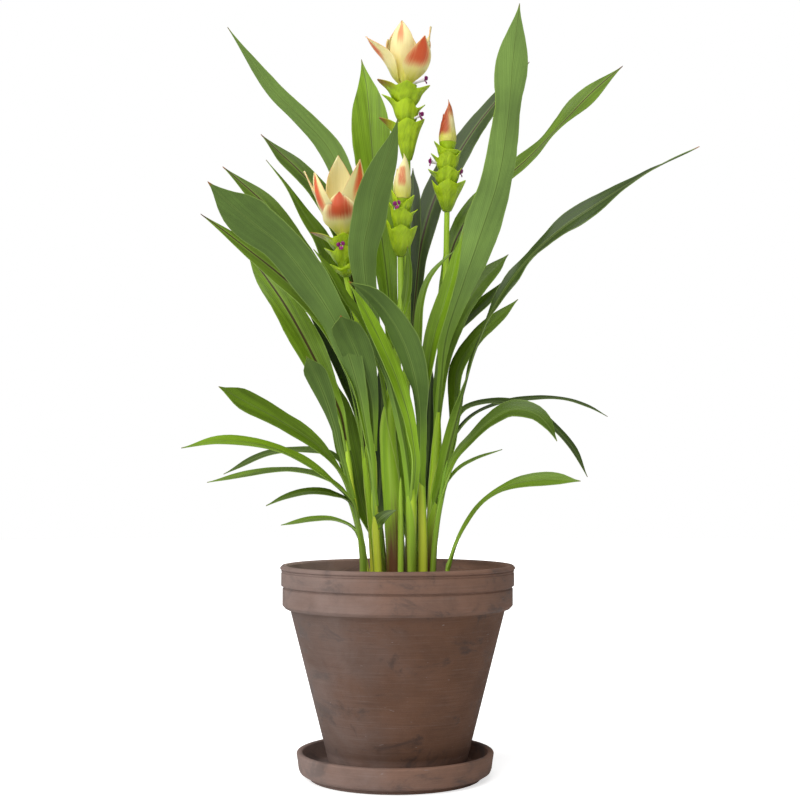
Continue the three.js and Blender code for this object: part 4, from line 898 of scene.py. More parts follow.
class Finish:
    """A material that is put together node by node round one shader. Lengths in it are in millimetres."""

    def __init__(self, name, **sockets):
        self.material = bpy.data.materials.new(name)
        self.material.use_nodes = True
        self.tree = self.material.node_tree
        self.shader = self.tree.nodes["Principled BSDF"]
        for socket, value in sockets.items():
            self.shader.inputs[socket.replace("_", " ")].default_value = value

    def node(self, kind, values=(), **settings):
        made = self.tree.nodes.new("ShaderNode" + kind)
        for key, value in settings.items():
            setattr(made, key, value)
        for key, value in dict(values).items():
            self.wire(made.inputs[key], value)
        return made

    def wire(self, socket, value):
        if isinstance(value, bpy.types.NodeSocket):
            self.tree.links.new(value, socket)
        elif socket.type == "RGBA":
            socket.default_value = (*value[:3], 1)
        else:
            socket.default_value = value

    def math(self, operation, *values):
        return self.node("Math", enumerate(values), operation=operation).outputs[0]

    def times(self, one, other):
        return self.math("MULTIPLY", one, other)

    def plus(self, one, other):
        return self.math("ADD", one, other)

    def step(self, value, low, high, to_low=0.0, to_high=1.0):
        values = {0: value, 1: low, 2: high, 3: to_low, 4: to_high}
        return self.node("MapRange", values, interpolation_type="SMOOTHSTEP").outputs[0]

    def mix(self, part, one, other, blend="MIX"):
        made = self.node("Mix", {0: part}, data_type="RGBA", blend_type=blend)
        self.wire(made.inputs[6], one)
        self.wire(made.inputs[7], other)
        return made.outputs[2]

    def tinted(self, shade, part, dim, lit):
        """The shade multiplied by a tint that goes from dim to lit."""
        return self.mix(1.0, shade, self.mix(part, dim, lit), "MULTIPLY")

    def mark(self, name):
        return self.node("Attribute", attribute_name=name).outputs["Fac"]

    def edge(self, low, high, most=1.0):
        """Grows from 0 to most between two shares of the way from a sheet's middle to its long edges."""
        return self.step(self.math("ABSOLUTE", self.mark("across")), low, high, 0, most)

    def reach(self):
        """The distance across and along the surface."""
        split = self.node("SeparateXYZ", {0: self.node("UVMap", uv_map="UVMap").outputs[0]})
        return [self.times(split.outputs[k], 1 / MM) for k in (0, 1)]

    def place(self, x=1.0, y=1.0, z=1.0):
        """The place on the object in millimetres, stretched along each axis."""
        scale = tuple(k / MM for k in (x, y, z))
        there = self.node("TexCoord").outputs["Object"]
        return self.node("Mapping", {"Vector": there, "Scale": scale}).outputs[0]

    def noise(self, vector, scale, detail=2.0, roughness=0.5, distortion=0.0):
        values = {"Vector": vector, "Scale": scale, "Detail": detail, "Roughness": roughness}
        return self.node("TexNoise", {**values, "Distortion": distortion}).outputs["Fac"]

    def fibres(self, across, fine, along, long, seed, detail=3.0, roughness=0.5):
        """Noise drawn out along the surface: fine and long are its waves in a millimetre each way."""
        place = {0: self.times(across, fine), 1: self.times(along, long), 2: seed}
        return self.noise(self.node("CombineXYZ", place).outputs[0], 1.0, detail, roughness)

    def done(self, shade, roughness, height=None, depth=0.1):
        """Wires the colour, the roughness and a relief of the given depth."""
        self.wire(self.shader.inputs["Base Color"], shade)
        self.wire(self.shader.inputs["Roughness"], roughness)
        if height is not None:
            bump = self.node("Bump", {"Height": height, "Distance": depth * MM, "Strength": 1.0})
            self.wire(self.shader.inputs["Normal"], bump.outputs[0])
        return self.material


def fired_clay(settings):
    """Unglazed clay with painted light: greyer on the lit left, warmer in shade on the right; turning streaks,
    scuffs, scratches.
    """
    clay = Finish("fired_clay", Specular_IOR_Level=0.3)
    mottle = clay.noise(clay.place(), 0.035, 5, 0.62)
    grain = clay.noise(clay.place(0.6, 0.6, 1.3), 1.8, 4, 0.75)
    streak = clay.noise(clay.place(0.03, 0.03, 1.1), 1.0, 5, 0.7)
    scuff = clay.noise(clay.place(0.03, 0.03, 0.05), 1.0, 6, 0.68, 0.8)
    lit_side_wobble = clay.noise(clay.place(0.022, 0.022, 0.03), 1.0, 4, 0.6, 0.6)
    scratch = clay.noise(clay.place(0.09, 0.09, 0.3), 1.0, 2, 0.4, 1.5)
    across, _, height = clay.node("SeparateXYZ", {0: clay.place()}).outputs
    # Painted light and shade: the side mask greys the lit left and warms the shaded right.
    side = clay.plus(across, clay.times(clay.math("SUBTRACT", lit_side_wobble, 0.5), 120))
    shade = clay.mix(clay.step(side, -60, 50), settings.body, settings.shaded_side)
    shade = clay.tinted(shade, clay.step(mottle, 0.32, 0.68), grey(0.88), grey(1.1))
    shade = clay.mix(clay.step(streak, 0.5, 0.75, 0, 0.14), shade, settings.pale)
    shade = clay.mix(clay.step(streak, 0.48, 0.25, 0, 0.4), shade, settings.dark)
    shade = clay.mix(clay.step(scuff, 0.52, 0.66, 0, 0.7), shade, settings.dark)
    # Painted light: the lit left side is painted paler as well.
    shade = clay.mix(clay.step(side, 10, -90, 0, 0.3), shade, settings.pale)

    # The band of the pot's rim and the saucer are paler and brighter than the pot's wall.
    banded = clay.plus(clay.step(height, 119, 123), clay.step(height, 22, 18))
    shade = clay.mix(clay.times(banded, 0.12), shade, settings.pale)
    light = clay.times(banded, clay.step(scuff, 0.65, 0.4, 0.4, 1))
    shade = clay.tinted(shade, light, grey(1), (1.4, 1.38, 1.38))

    # Painted light: the pot's inside over the soil is painted brighter too.
    radius = clay.node("VectorMath", {0: clay.place(1, 1, 0)}, operation="LENGTH").outputs["Value"]
    inner = clay.times(clay.step(radius, 81, 79.5), clay.step(height, 124, 128))
    shade = clay.tinted(shade, inner, grey(1), grey(1.7))

    shade = clay.mix(clay.step(scratch, 0.745, 0.775, 0, 0.45), shade, settings.pale)
    shade = clay.mix(clay.step(grain, 0.55, 0.75, 0, 0.35), shade, settings.dark)
    shade = clay.mix(clay.step(grain, 0.42, 0.25, 0, 0.22), shade, settings.pale)
    relief = clay.plus(clay.times(streak, 0.8), clay.times(grain, 0.9))
    return clay.done(shade, clay.step(scuff, 0.4, 0.7, 0.86, 0.68), relief, settings.grain / MM)


def potting_soil(settings):
    """Damp soil with drier clumps and pale flecks."""
    soil = Finish("potting_soil", Specular_IOR_Level=0.25)
    clump = soil.noise(soil.place(), 0.22, 5, 0.65)
    fleck = soil.noise(soil.place(), 1.1, 3, 0.7)
    shade = soil.mix(soil.step(clump, 0.4, 0.68), settings.damp, settings.dry)
    shade = soil.mix(soil.step(fleck, 0.64, 0.7, 0, 0.7), shade, toned(settings.dry, 1.8))
    return soil.done(shade, soil.step(clump, 0.35, 0.6, 0.75, 0.98), soil.plus(clump, fleck), 0.8)


def leaf_finish(settings, upper):
    """One face of a leaf blade: slanting veins, streaks between them, a rib, pale margins and a dry tip."""
    name = "leaf_upper_face" if upper else "leaf_underside"
    leaf = Finish(name, Specular_IOR_Level=0.3 if upper else 0.14)
    deep, bright = (settings.deep, settings.bright) if upper else (settings.under_deep, settings.under_bright)
    dim, lit = (0.8, 1.2) if upper else (0.9, 1.1)
    glossy, matt = (0.36, 0.46) if upper else (0.55, 0.68)
    rib_depth = 0.5 if upper else 0.8

    across, along = leaf.reach()
    aside = leaf.math("ABSOLUTE", across)
    vein = leaf.math("SUBTRACT", leaf.times(aside, 0.96), leaf.times(along, 0.05))
    lines = leaf.math("SINE", leaf.times(vein, math.tau * MM / settings.vein))
    tone, stain = leaf.mark("tone"), leaf.mark("stain")
    streak = leaf.fibres(vein, 0.42, along, 0.012, leaf.times(tone, 37), roughness=0.6)
    patch = leaf.noise(leaf.place(), 0.03, 3, 0.55)
    # The tone picks the green between deep and bright, and is partly painted shade.
    shade = leaf.mix(tone, deep, bright)
    shade = leaf.tinted(shade, leaf.step(streak, 0.3, 0.7), grey(dim), grey(lit))
    shade = leaf.tinted(shade, leaf.step(patch, 0.3, 0.7), grey(0.88), (1.1, 1.1, 1.04))
    shade = leaf.mix(leaf.step(lines, -1, 1, 0, 0.1), shade, toned(deep, 0.6))

    # A leaf is brighter towards its foot, and its margins and the strips beside its rib are pale.
    foot = leaf.step(leaf.mark("along"), 0.38, 0.08)
    shade = leaf.mix(leaf.times(foot, 0.65), shade, toned(settings.bright, 1.15))
    shade = leaf.mix(leaf.edge(0.93, 1.0, 0.35), shade, settings.margin)
    maroon = leaf.step(stain, 0.1, 0.9)
    width = leaf.times(leaf.step(leaf.mark("along"), 1.0, 0.5, 0.3, 0.6), leaf.plus(0.7, maroon))
    widths_off = leaf.math("DIVIDE", aside, width)
    shade = leaf.mix(leaf.times(leaf.step(widths_off, 3.2, 1.4), 0.2), shade, settings.margin)
    rib = leaf.mix(maroon, toned(deep, rib_depth), settings.rib)
    line = leaf.times(leaf.step(widths_off, 1.2, 0.7), leaf.plus(leaf.times(maroon, 0.4), 0.5))
    shade = leaf.mix(line, shade, rib)
    dry = leaf.times(leaf.step(leaf.mark("along"), 0.982, 0.998), leaf.mark("tip"))
    shade = leaf.mix(dry, shade, settings.tip)
    relief = leaf.plus(leaf.times(lines, 0.4), leaf.times(streak, 2.0))
    return leaf.done(shade, leaf.step(streak, 0.3, 0.7, glossy, matt), relief, settings.relief / MM)


def stalk_finish(settings):
    """A cane's sheaths: streaks along them, pale edges, and a yellowed or reddish-brown foot."""
    stalk = Finish("stalk_sheath", Specular_IOR_Level=0.3)
    across, along = stalk.reach()
    tone = stalk.mark("tone")
    shift = stalk.times(tone, 23)
    wide = stalk.fibres(across, 0.25, along, 0.008, shift, 2)
    fine = stalk.fibres(across, 2.2, along, 0.02, shift, roughness=0.6)
    shade = stalk.mix(tone, settings.deep, settings.bright)
    shade = stalk.mix(stalk.step(wide, 0.4, 0.75, 0, 0.35), shade, settings.pale)
    shade = stalk.mix(stalk.step(wide, 0.5, 0.25, 0, 0.45), shade, toned(settings.deep, 0.6))
    shade = stalk.mix(stalk.step(fine, 0.3, 0.75, 0, 0.25), shade, toned(settings.deep, 0.7))
    shade = stalk.mix(stalk.edge(0.88, 0.98, 0.6), shade, settings.pale)
    height = stalk.node("SeparateXYZ", {0: stalk.place()}).outputs[2]
    level = stalk.plus(height, stalk.times(stalk.math("SUBTRACT", wide, 0.5), -90))
    yellow = stalk.times(stalk.step(level, 225, 165), stalk.step(tone, 0.68, 0.9, 0, 0.8))
    shade = stalk.mix(yellow, shade, settings.yellow)
    red = stalk.times(stalk.step(level, 205, 150), stalk.times(stalk.mark("stain"), 0.95))
    shade = stalk.mix(red, shade, settings.red)
    return stalk.done(shade, stalk.step(fine, 0.3, 0.7, 0.38, 0.5), stalk.plus(fine, wide), 0.12)


def green_bract_finish(settings):
    """A green bract: painted shade deep in its pocket, bright on its belly, painted highlights on its thin rims
    and a brown tip.
    """
    green = Finish("green_bract", Specular_IOR_Level=0.3, Subsurface_Weight=0.3, Subsurface_Scale=0.003)
    green.shader.inputs["Subsurface Radius"].default_value = (0.8, 1, 0.5)
    across, along = green.reach()
    vein = green.fibres(across, 0.9, along, 0.06, green.mark("tone"))
    patch = green.noise(green.place(), 0.16, 3, 0.5)
    up = green.mark("along")
    # Painted shade: the bract darkens down into its pocket.
    shade = green.mix(green.step(up, 0.0, 0.55, 0.25, 1.0), settings.deep, settings.green)
    shade = green.mix(green.step(patch, 0.35, 0.7, 0, 0.45), shade, settings.deep)
    shade = green.mix(green.step(vein, 0.35, 0.7, 0, 0.3), shade, toned(settings.green, 1.25))
    # Painted highlight: a brighter green along the bract's rim.
    shade = green.mix(green.edge(0.86, 0.98, 0.45), shade, toned(settings.green, 1.35))
    brown = green.times(green.step(green.plus(up, green.times(vein, 0.2)), 0.78, 1.05), green.mark("stain"))
    shade = green.mix(brown, shade, settings.brown)
    return green.done(shade, green.step(patch, 0.3, 0.7, 0.34, 0.46), vein, 0.35)


def pale_bract_finish(settings):
    """A crown's bract: cream, with a yellow-green foot, a veined orange-red patch and a blushed tip."""
    pale = Finish("pale_bract", Specular_IOR_Level=0.25, Subsurface_Weight=0.5, Subsurface_Scale=0.003)
    pale.shader.inputs["Subsurface Radius"].default_value = (1, 0.9, 0.7)
    across, along = pale.reach()
    fine = pale.fibres(across, 1.3, along, 0.05, pale.mark("tone"))
    up, stain = pale.mark("along"), pale.mark("stain")
    shade = pale.mix(pale.step(up, 0.5, 0.05, 0, 0.95), settings.cream, settings.base)
    shade = pale.mix(pale.step(fine, 0.35, 0.7, 0, 0.35), shade, toned(settings.cream, 0.93))
    veined = pale.plus(stain, pale.times(pale.math("SUBTRACT", fine, 0.5), 0.6))
    veined = pale.times(pale.step(veined, 0.05, 1.0), pale.step(stain, 0.0, 0.5))
    patch = pale.mix(pale.mark("tip"), settings.blush, settings.wine)
    shade = pale.mix(veined, shade, patch)
    edge = pale.times(pale.edge(0.9, 1.0), pale.step(up, 0.45, 0.95))
    shade = pale.mix(pale.times(edge, 0.6), shade, settings.blush)
    return pale.done(shade, pale.step(fine, 0.3, 0.7, 0.42, 0.52), fine, 0.2)


def floret_finish(name, shade, dim):
    floret = Finish(name, Specular_IOR_Level=0.3)
    fleck = floret.noise(floret.place(), 1.4, 2)
    tint = floret.mix(floret.step(fleck, 0.35, 0.65), toned(shade, dim), shade)
    return floret.done(tint, floret.step(fleck, 0.3, 0.7, 0.5, 0.65), fleck, 0.1)


def blade(cane, leaf):
    """A leaf: a folded blade with waved edges on a gutter-shaped stalk."""
    way = Way([seen(row) for row in [cane.layout(leaf["from"]), *leaf["way"]]])
    seed = seed_of(leaf["name"])
    frames = {}

    def turning(along):
        """The point, the way ahead, the way to the eye and the way across, square to each other."""
        point, ahead = way.at(along), way.ahead(along)
        viewer = (EYE - point).normalized()
        facing = (viewer - ahead * viewer.dot(ahead)).normalized()
        return point, ahead, facing, ahead.cross(facing)

    # A turn of 0 looks at the eye and one of 90 upwards, whichever way the leaf runs.
    widest = leaf["widths"].index(max(leaf["widths"])) / (len(leaf["widths"]) - 1)
    hand = math.copysign(1, turning(widest)[3].z)

    def frame_at(along):
        """The point, the way that the upper face looks and the way to one edge, kept for all of a row."""
        if along not in frames:
            point, ahead, facing, upward = turning(along)
            upward *= hand
            turn = math.radians(smooth(leaf["turns"], along))
            face = facing * math.cos(turn) + upward * math.sin(turn)
            frames[along] = point, face, ahead.cross(face)
        return frames[along]

    def shape(along, side):
        # The strips are narrower towards the rib.
        side *= abs(side) ** 0.35
        point, face, beside = frame_at(along)
        breadth = max(smooth(leaf["widths"], along) / 2, TIP_HALF_WIDTH)
        reach = along * way.length
        edge = math.copysign(3, side)
        uneven = noise.noise((reach / 22, edge, seed)) + 0.5 * noise.noise((reach / 7, edge, seed))
        breadth *= 1 + EDGE_SHARE * uneven * abs(side) ** 3
        fold = math.radians(leaf["fold"]) * (FOLD_AT_FOOT - along)
        swing = math.sin(math.tau * reach / WAVE_LENGTH + 1.5 * side)
        swing += 0.7 * noise.noise((reach / 16, side, seed + 40))
        ripple = WAVE_HEIGHT * leaf["wave"] * swing * math.sin(math.pi * along) * side * side
        gutter = max(0, 1 - along / STALK_SHARE) ** 2

        # The two halves meet in a rounded fold along the rib.
        valley = math.sqrt(side * side + 0.004) - 0.063
        out = lerp(side * math.cos(fold), math.sin(side * STALK_WRAP), gutter)
        lift = lerp(valley * math.sin(fold), 1 - math.cos(side * STALK_WRAP) - 0.5, gutter)
        thick = lerp(STALK_THICKNESS, BLADE_THICKNESS, min(along / STALK_SHARE, 1))
        thick += RIB_THICKNESS * hump(side * breadth, 0, RIB_SPREAD) * (1 - along)
        point = point + beside * (breadth * out) + face * (breadth * lift + ripple)
        marks = leaf["tone"], leaf["rib"], leaf["tip"], along, side
        return Spot(point, (side * breadth, reach), *marks, thick / (STALK_THICKNESS + RIB_THICKNESS))

    return shape, clamp(round(way.length / BLADE_STATION), FEWEST_STATIONS, MOST_STATIONS), way


def cane_tube(stem, cane, layers):
    """The cane itself. Its foot is closed flat, and its top is flat under a bloom and round elsewhere."""
    steps = max(10, round(cane.path.length / CANE_STATION)) + 2
    carries = any(bloom["stem"] == stem["name"] for bloom in BLOOMS)

    def shape(along, side):
        t, closed = capped(along, steps)
        centre, radius = cane.at(t)
        radius -= SHEATH_LAYER * layers * (1 - step(t, 0.6, 0.9))
        if not carries:
            radius *= math.sqrt(max(1 - step(t, 0.86, 1.0) ** 2, 0.01))
        point = off_axis(centre, 0 if closed else radius, side * math.pi)
        return Spot(point, (side * radius * math.pi, centre.z), stem["tone"], stem["redness"], 0, t, 0)

    return shape, steps


def sheath(stem, cane, leaf, way, layer, layers):
    """The lower part of a leaf, wrapped round the cane: it opens and narrows towards the leaf's stalk."""
    begins = seen(cane.layout(leaf["from"])).z
    foot, top = seen(cane.rows[0]).z + SHEATH_FOOT, begins + SHEATH_TOP

    # It opens on the side where its leaf leaves the cane.
    near = way.at(min(SHEATH_AIM / way.length, 0.5))
    axis, _ = cane.at_height(near.z if near.z < seen(cane.rows[-1]).z else begins)
    heading = math.atan2(near.y - axis.y, near.x - axis.x)
    tone = clamp(lerp(stem["tone"], leaf["tone"], 0.3) + 0.08 * (-1) ** layer)

    def shape(along, side):
        centre, radius = cane.at_height(lerp(foot, top, along))
        radius += SHEATH_LAYER * (layer - layers) + 0.1 + 0.9 * step(along, 0.7, 1.0)
        half = math.radians(lerp(*SHEATH_WRAP, along**2.2))
        point = off_axis(centre, radius, heading + side * half)
        return Spot(point, (side * half * radius, centre.z), tone, stem["redness"], 0, along, side)

    return shape, max(8, round((top - foot) / SHEATH_STATION))


def radius_at(outline, height):
    """The radius of an outline of (radius, height) at a height."""
    above = max(1, next((i for i, row in enumerate(outline) if row[1] >= height), len(outline) - 1))
    low, high = outline[above - 1], outline[above]
    return lerp(low[0], high[0], (height - low[1]) / (high[1] - low[1]))


class Lean:
    """Stands a bloom that is laid out upright on the end of its stem, leaning towards its top."""

    def __init__(self, bloom):
        rows = next(stem for stem in STEMS if stem["name"] == bloom["stem"])["cane"]
        self.foot = seen(rows[-1]) + Vector((0, 0, BLOOM_GAP))
        self.turn = Vector((0, 0, 1)).rotation_difference((seen(bloom["top"]) - self.foot).normalized())

    def place(self, radius, aside, height, azimuth):
        """A point at radius from the axis and aside of it, turned to its azimuth."""
        turn = math.radians(azimuth)
        point = Vector((
            radius * math.cos(turn) - aside * math.sin(turn),
            radius * math.sin(turn) + aside * math.cos(turn),
            height,
        ))
        return self.turn @ point + self.foot


def cup_stack(bloom, lean):
    """The core of a bloom: stacked cups as one tube, slim between its ends, with a groove inside each rim."""
    outline = []
    cups = bloom["cups"]
    for (radius, height), (inner, foot) in zip(cups, cups[1:] + [(math.inf, 0)]):
        outline.append(Vector((radius, 0, height)))
        if inner < radius:
            outline.append(Vector((radius - 0.7, 0, height - 0.2)))
            outline.append(Vector((inner + 0.4, 0, foot - CUP_GROOVE)))
            outline.append(Vector((inner, 0, foot - CUP_GROOVE)))
    way = Way(outline)
    rim = cups[-1][1]

    def shape(along, side):
        part, closed = capped(along, CUP_STATIONS)
        point = way.at(part)
        azimuth = side * 180
        slim = lerp(1, CORE_SHARE, step(point.z, 2, 9) * step(point.z, rim, rim - 14))
        spot = lean.place(0 if closed else point.x * slim, 0, point.z, azimuth)
        reach = (math.radians(azimuth) * point.x, point.z)
        # Painted shade: the along mark makes the core darker towards its foot, down among the bracts.
        return Spot(spot, reach, 0.3, 0, 0, 0.25 + 0.5 * point.z / rim, 0)

    return shape


def tiers(rows):
    """The green bracts of a bloom sorted into the tiers that they grow in."""
    groups = []
    for row in sorted(rows, key=lambda row: row[1]):
        if groups and row[1] - groups[-1][0][1] < TIER_GAP:
            groups[-1].append(row)
        else:
            groups.append([row])
    return groups


def pockets(bloom, lean, rows, index, below):
    """A tier of green bracts, grown together below and spread to points above, with notches between them."""
    cups = bloom["cups"]
    start = min(row[1] for row in rows)
    waist = max(radius_at(cups, start), radius_at(cups, start + 4)) + 0.6
    foot = below + 3 if index else 0.8
    neck = min(radius_at(cups, height) for height in (foot, start - 2, start, start + 2)) * NECK_SHARE
    seed = index + seed_of(bloom["name"])

    def rim(azimuth):
        """The rim's radius and height, the belly below it, its nearness to a point, and how that spreads."""
        parts = []
        for bearing, low, belly, tip, rise, width in rows:
            apart = abs((azimuth - bearing + 180) % 360 - 180)
            parts.append((max(1 - apart / math.degrees(width / belly), 0), low, belly, tip, rise))
        weights = [part[0] ** 4 + 1e-9 for part in parts]
        near = max(part[0] for part in parts)
        low, belly, tip, rise = (
            sum(weight * part[k] for weight, part in zip(weights, parts)) / sum(weights) for k in (1, 2, 3, 4)
        )
        turn = math.radians(azimuth)
        uneven = 0.6 * noise.noise((math.cos(turn) * 2, math.sin(turn) * 2, seed))
        edge = lerp(waist + 1.2 + uneven, tip, near**1.7)
        top = low + rise * (0.15 + 0.6 * math.sin(math.pi / 2 * near) + 0.25 * near**3) + uneven
        return edge, top, lerp(waist + 0.6, belly, near**0.7), near, clamp((tip - 18) / 3)

    def shape(along, side):
        azimuth = side * 180
        edge, top, bulge, near, spread = rim(azimuth)

        # The first tier sits close round the core, and the others taper into the tier below.
        if index:
            radii = (neck * 0.9, neck, lerp(neck, bulge, 0.6), bulge, edge)
            heights = [lerp(foot, top, part) for part in (0, 0.28, 0.55, 0.8, 1)]
        else:
            heights = [lerp(foot, start + 1, part) for part in (0, 0.33, 0.7)]
            radii = [radius_at(cups, height) + 0.5 for height in heights] + [bulge, edge]
            heights += [lerp(start, top, 0.45), top]
        radius, height = smooth(radii, along), smooth(heights, along)
        rib = 0.25 * math.cos(math.radians(azimuth * 9)) * math.sin(math.pi * along)
        spot = lean.place(radius + rib, 0, height, azimuth)
        reach = (math.radians(azimuth) * radius, along * (top - foot))
        # The along mark paints shade down into the pocket, and the across mark, along to the fourth, a painted
        # highlight on the rim.
        return Spot(spot, reach, (0.37 * index) % 1, spread * near * near, 0, along, along**4)

    return shape


def crown_bract(bloom, lean, index):
    """A pale bract: a spoon with a pointed tip, a faint keel and waved edges."""
    azimuth, start, belly, tip, rise, width = bloom["crown"][index]
    width *= BRACT_SPREAD
    root = bloom["cups"][-1][0] * 0.7 - BRACT_ROOT
    strength, low, high, aside, spread, dark = BLUSH[bloom["name"]][index]
    spine = Way([
        Vector((root, 0, start)),
        Vector((lerp(root, belly, 0.3), 0, start + rise * 0.16)),
        Vector((belly, 0, start + rise * 0.6)),
        Vector((tip, 0, start + rise - BRACT_THICKNESS / 2)),
    ])
    bend = max(belly, width * 0.42)

    def shape(along, side):
        point = spine.at(along)
        swell = math.sin(math.pi * (0.04 + 0.96 * along)) ** lerp(1.25, 1, step(along, 0.2, 0.8))
        half = max(width / 2 * swell, TIP_HALF_WIDTH)
        turn = side * half / bend
        keel = 0.45 * hump(side, 0, 0.2) * math.sin(math.pi * along)
        wave = 0.7 * math.sin(9 * along + 2 * side + azimuth) * side * side * along
        radius = point.x - bend * (1 - math.cos(turn)) + keel + wave
        spot = lean.place(radius, bend * math.sin(turn), point.z, azimuth)
        stain = strength * step(along, low, low + 0.4) * step(along, high + 0.05, high - 0.08)
        stain *= step(abs(side - aside), spread, spread * 0.2)
        return Spot(spot, (side * half, along * spine.length), (0.29 * index) % 1, stain, dark, along, side)

    return shape


def rolled_bract(bloom, lean, turn):
    """One of the bracts of a closed crown, rolled round the bud so that each stands out over the next."""
    strength, low, high, bearing, around, dark = BUD_BLUSH[bloom["name"]]
    way = Way([Vector((max(radius, 0.05), 0, rise)) for radius, rise in bloom["bud"]])
    start = ROLL_START + 360 * turn / len(BUD_HEIGHTS)
    top = BUD_HEIGHTS[turn]
    base = bloom["cups"][-1][1] + BLOOM_GAP

    def shape(along, side):
        along *= top
        point = way.at(along)
        part = (side + 1) / 2
        narrow = 1 - 0.8 * step(along, 0.5 * top, top)
        azimuth = start + ROLL_REACH * (0.5 + (part - 0.5) * narrow)
        swell = 0.9 + 0.2 * part
        spot = lean.place(max(point.x * swell, 0.1), 0, point.z + base, azimuth)
        apart = abs((azimuth - bearing + 180) % 360 - 180)
        stain = strength * step(along, low, low + 0.25) * step(along, high + 0.05, high - 0.1)
        stain *= max(step(apart, around, around * 0.3), dark * step(along, 0.4, 0.75))
        return Spot(spot, (math.radians(azimuth) * point.x, point.z), 0.3 * turn, stain, dark, along, side)

    return shape


def heart(bloom, lean):
    """The closed heart of an open crown."""
    mouth, rim = bloom["cups"][-1]
    outline = ((mouth * 0.55, 0), (mouth * 0.6, 3), (mouth * 0.35, 8), (0.1, 11))
    way = Way([Vector((radius, 0, height)) for radius, height in outline])

    def shape(along, side):
        row = round(along * HEART_STATIONS)
        point = way.at(max((row - 1) / (HEART_STATIONS - 1), 0))
        radius = 0 if row == 0 else point.x * (1 + 0.08 * math.sin(math.radians(3 * side * 180)))
        spot = lean.place(radius, 0, point.z + rim + BLOOM_GAP, side * 180)
        return Spot(spot, (side * math.pi * point.x, point.z), 0.5, 0, 0, 0.2, 0)

    return shape


def floret_parts(lean, row, finishes):
    """A tiny open flower: a white tube and three magenta lips."""
    azimuth, height, radius = row
    lip, tube = finishes

    def barrel(along, side):
        swell = 0.75 + 0.5 * step(along, 0.6, 1)
        turn = side * math.pi
        out = lerp(radius * FLORET_ROOT, radius + 0.7, along)
        rise = height - 1.2 + 2.2 * along + swell * math.sin(turn)
        spot = lean.place(out, swell * math.cos(turn), rise, azimuth)
        return Spot(spot, (turn * swell, 5 * along), 0.5, 0, 0, along, side)

    parts = [sheet("floret_tube", 10, 6, barrel, [tube], FLORET_THICKNESS)]
    for bearing in LIP_TURNS:
        def petal(along, side, turn=math.radians(bearing)):
            half = 1.7 * math.sin(math.pi * (0.15 + 0.8 * along)) ** 0.7
            reach = 0.7 + 2.7 * along
            out = radius + 0.5 + 1.3 * along + 0.5 * math.sin(math.pi * along) - 0.35 * side * side
            aside = reach * math.sin(turn) + side * half * math.cos(turn)
            rise = height + 1.0 + reach * math.cos(turn) - side * half * math.sin(turn)
            return Spot(lean.place(out, aside, rise, azimuth), (side * half, reach), 0.5, 0, 0, along, side)

        parts.append(sheet("floret_lip", 6, 6, petal, [lip], FLORET_THICKNESS))
    return parts


def clay_ware(settings, name, node, outline, across):
    """A turned and fired piece. The pot and the saucer are of one clay."""
    ware = turned(name, outline, across, settings.sides, settings.rounding)
    ware.data.materials.append(bpy.data.materials.get("fired_clay") or fired_clay(settings))
    gather([ware], name, node)


class SIAM_TULIP_OT_saucer(bpy.types.Operator):
    """Turns the saucer under the pot"""

    bl_idname = "siam_tulip.saucer"
    bl_label = "Saucer"

    def execute(self, context):
        clay_ware(context.scene.siam_tulip_clay, "clay_saucer", "saucer", SAUCER_OUTLINE, 0)
        return {"FINISHED"}


class SIAM_TULIP_OT_pot(bpy.types.Operator):
    """Turns the pot"""

    bl_idname = "siam_tulip.pot"
    bl_label = "Pot"

    def execute(self, context):
        clay_ware(context.scene.siam_tulip_clay, "clay_pot", "pot", POT_OUTLINE, POT_ACROSS)
        return {"FINISHED"}


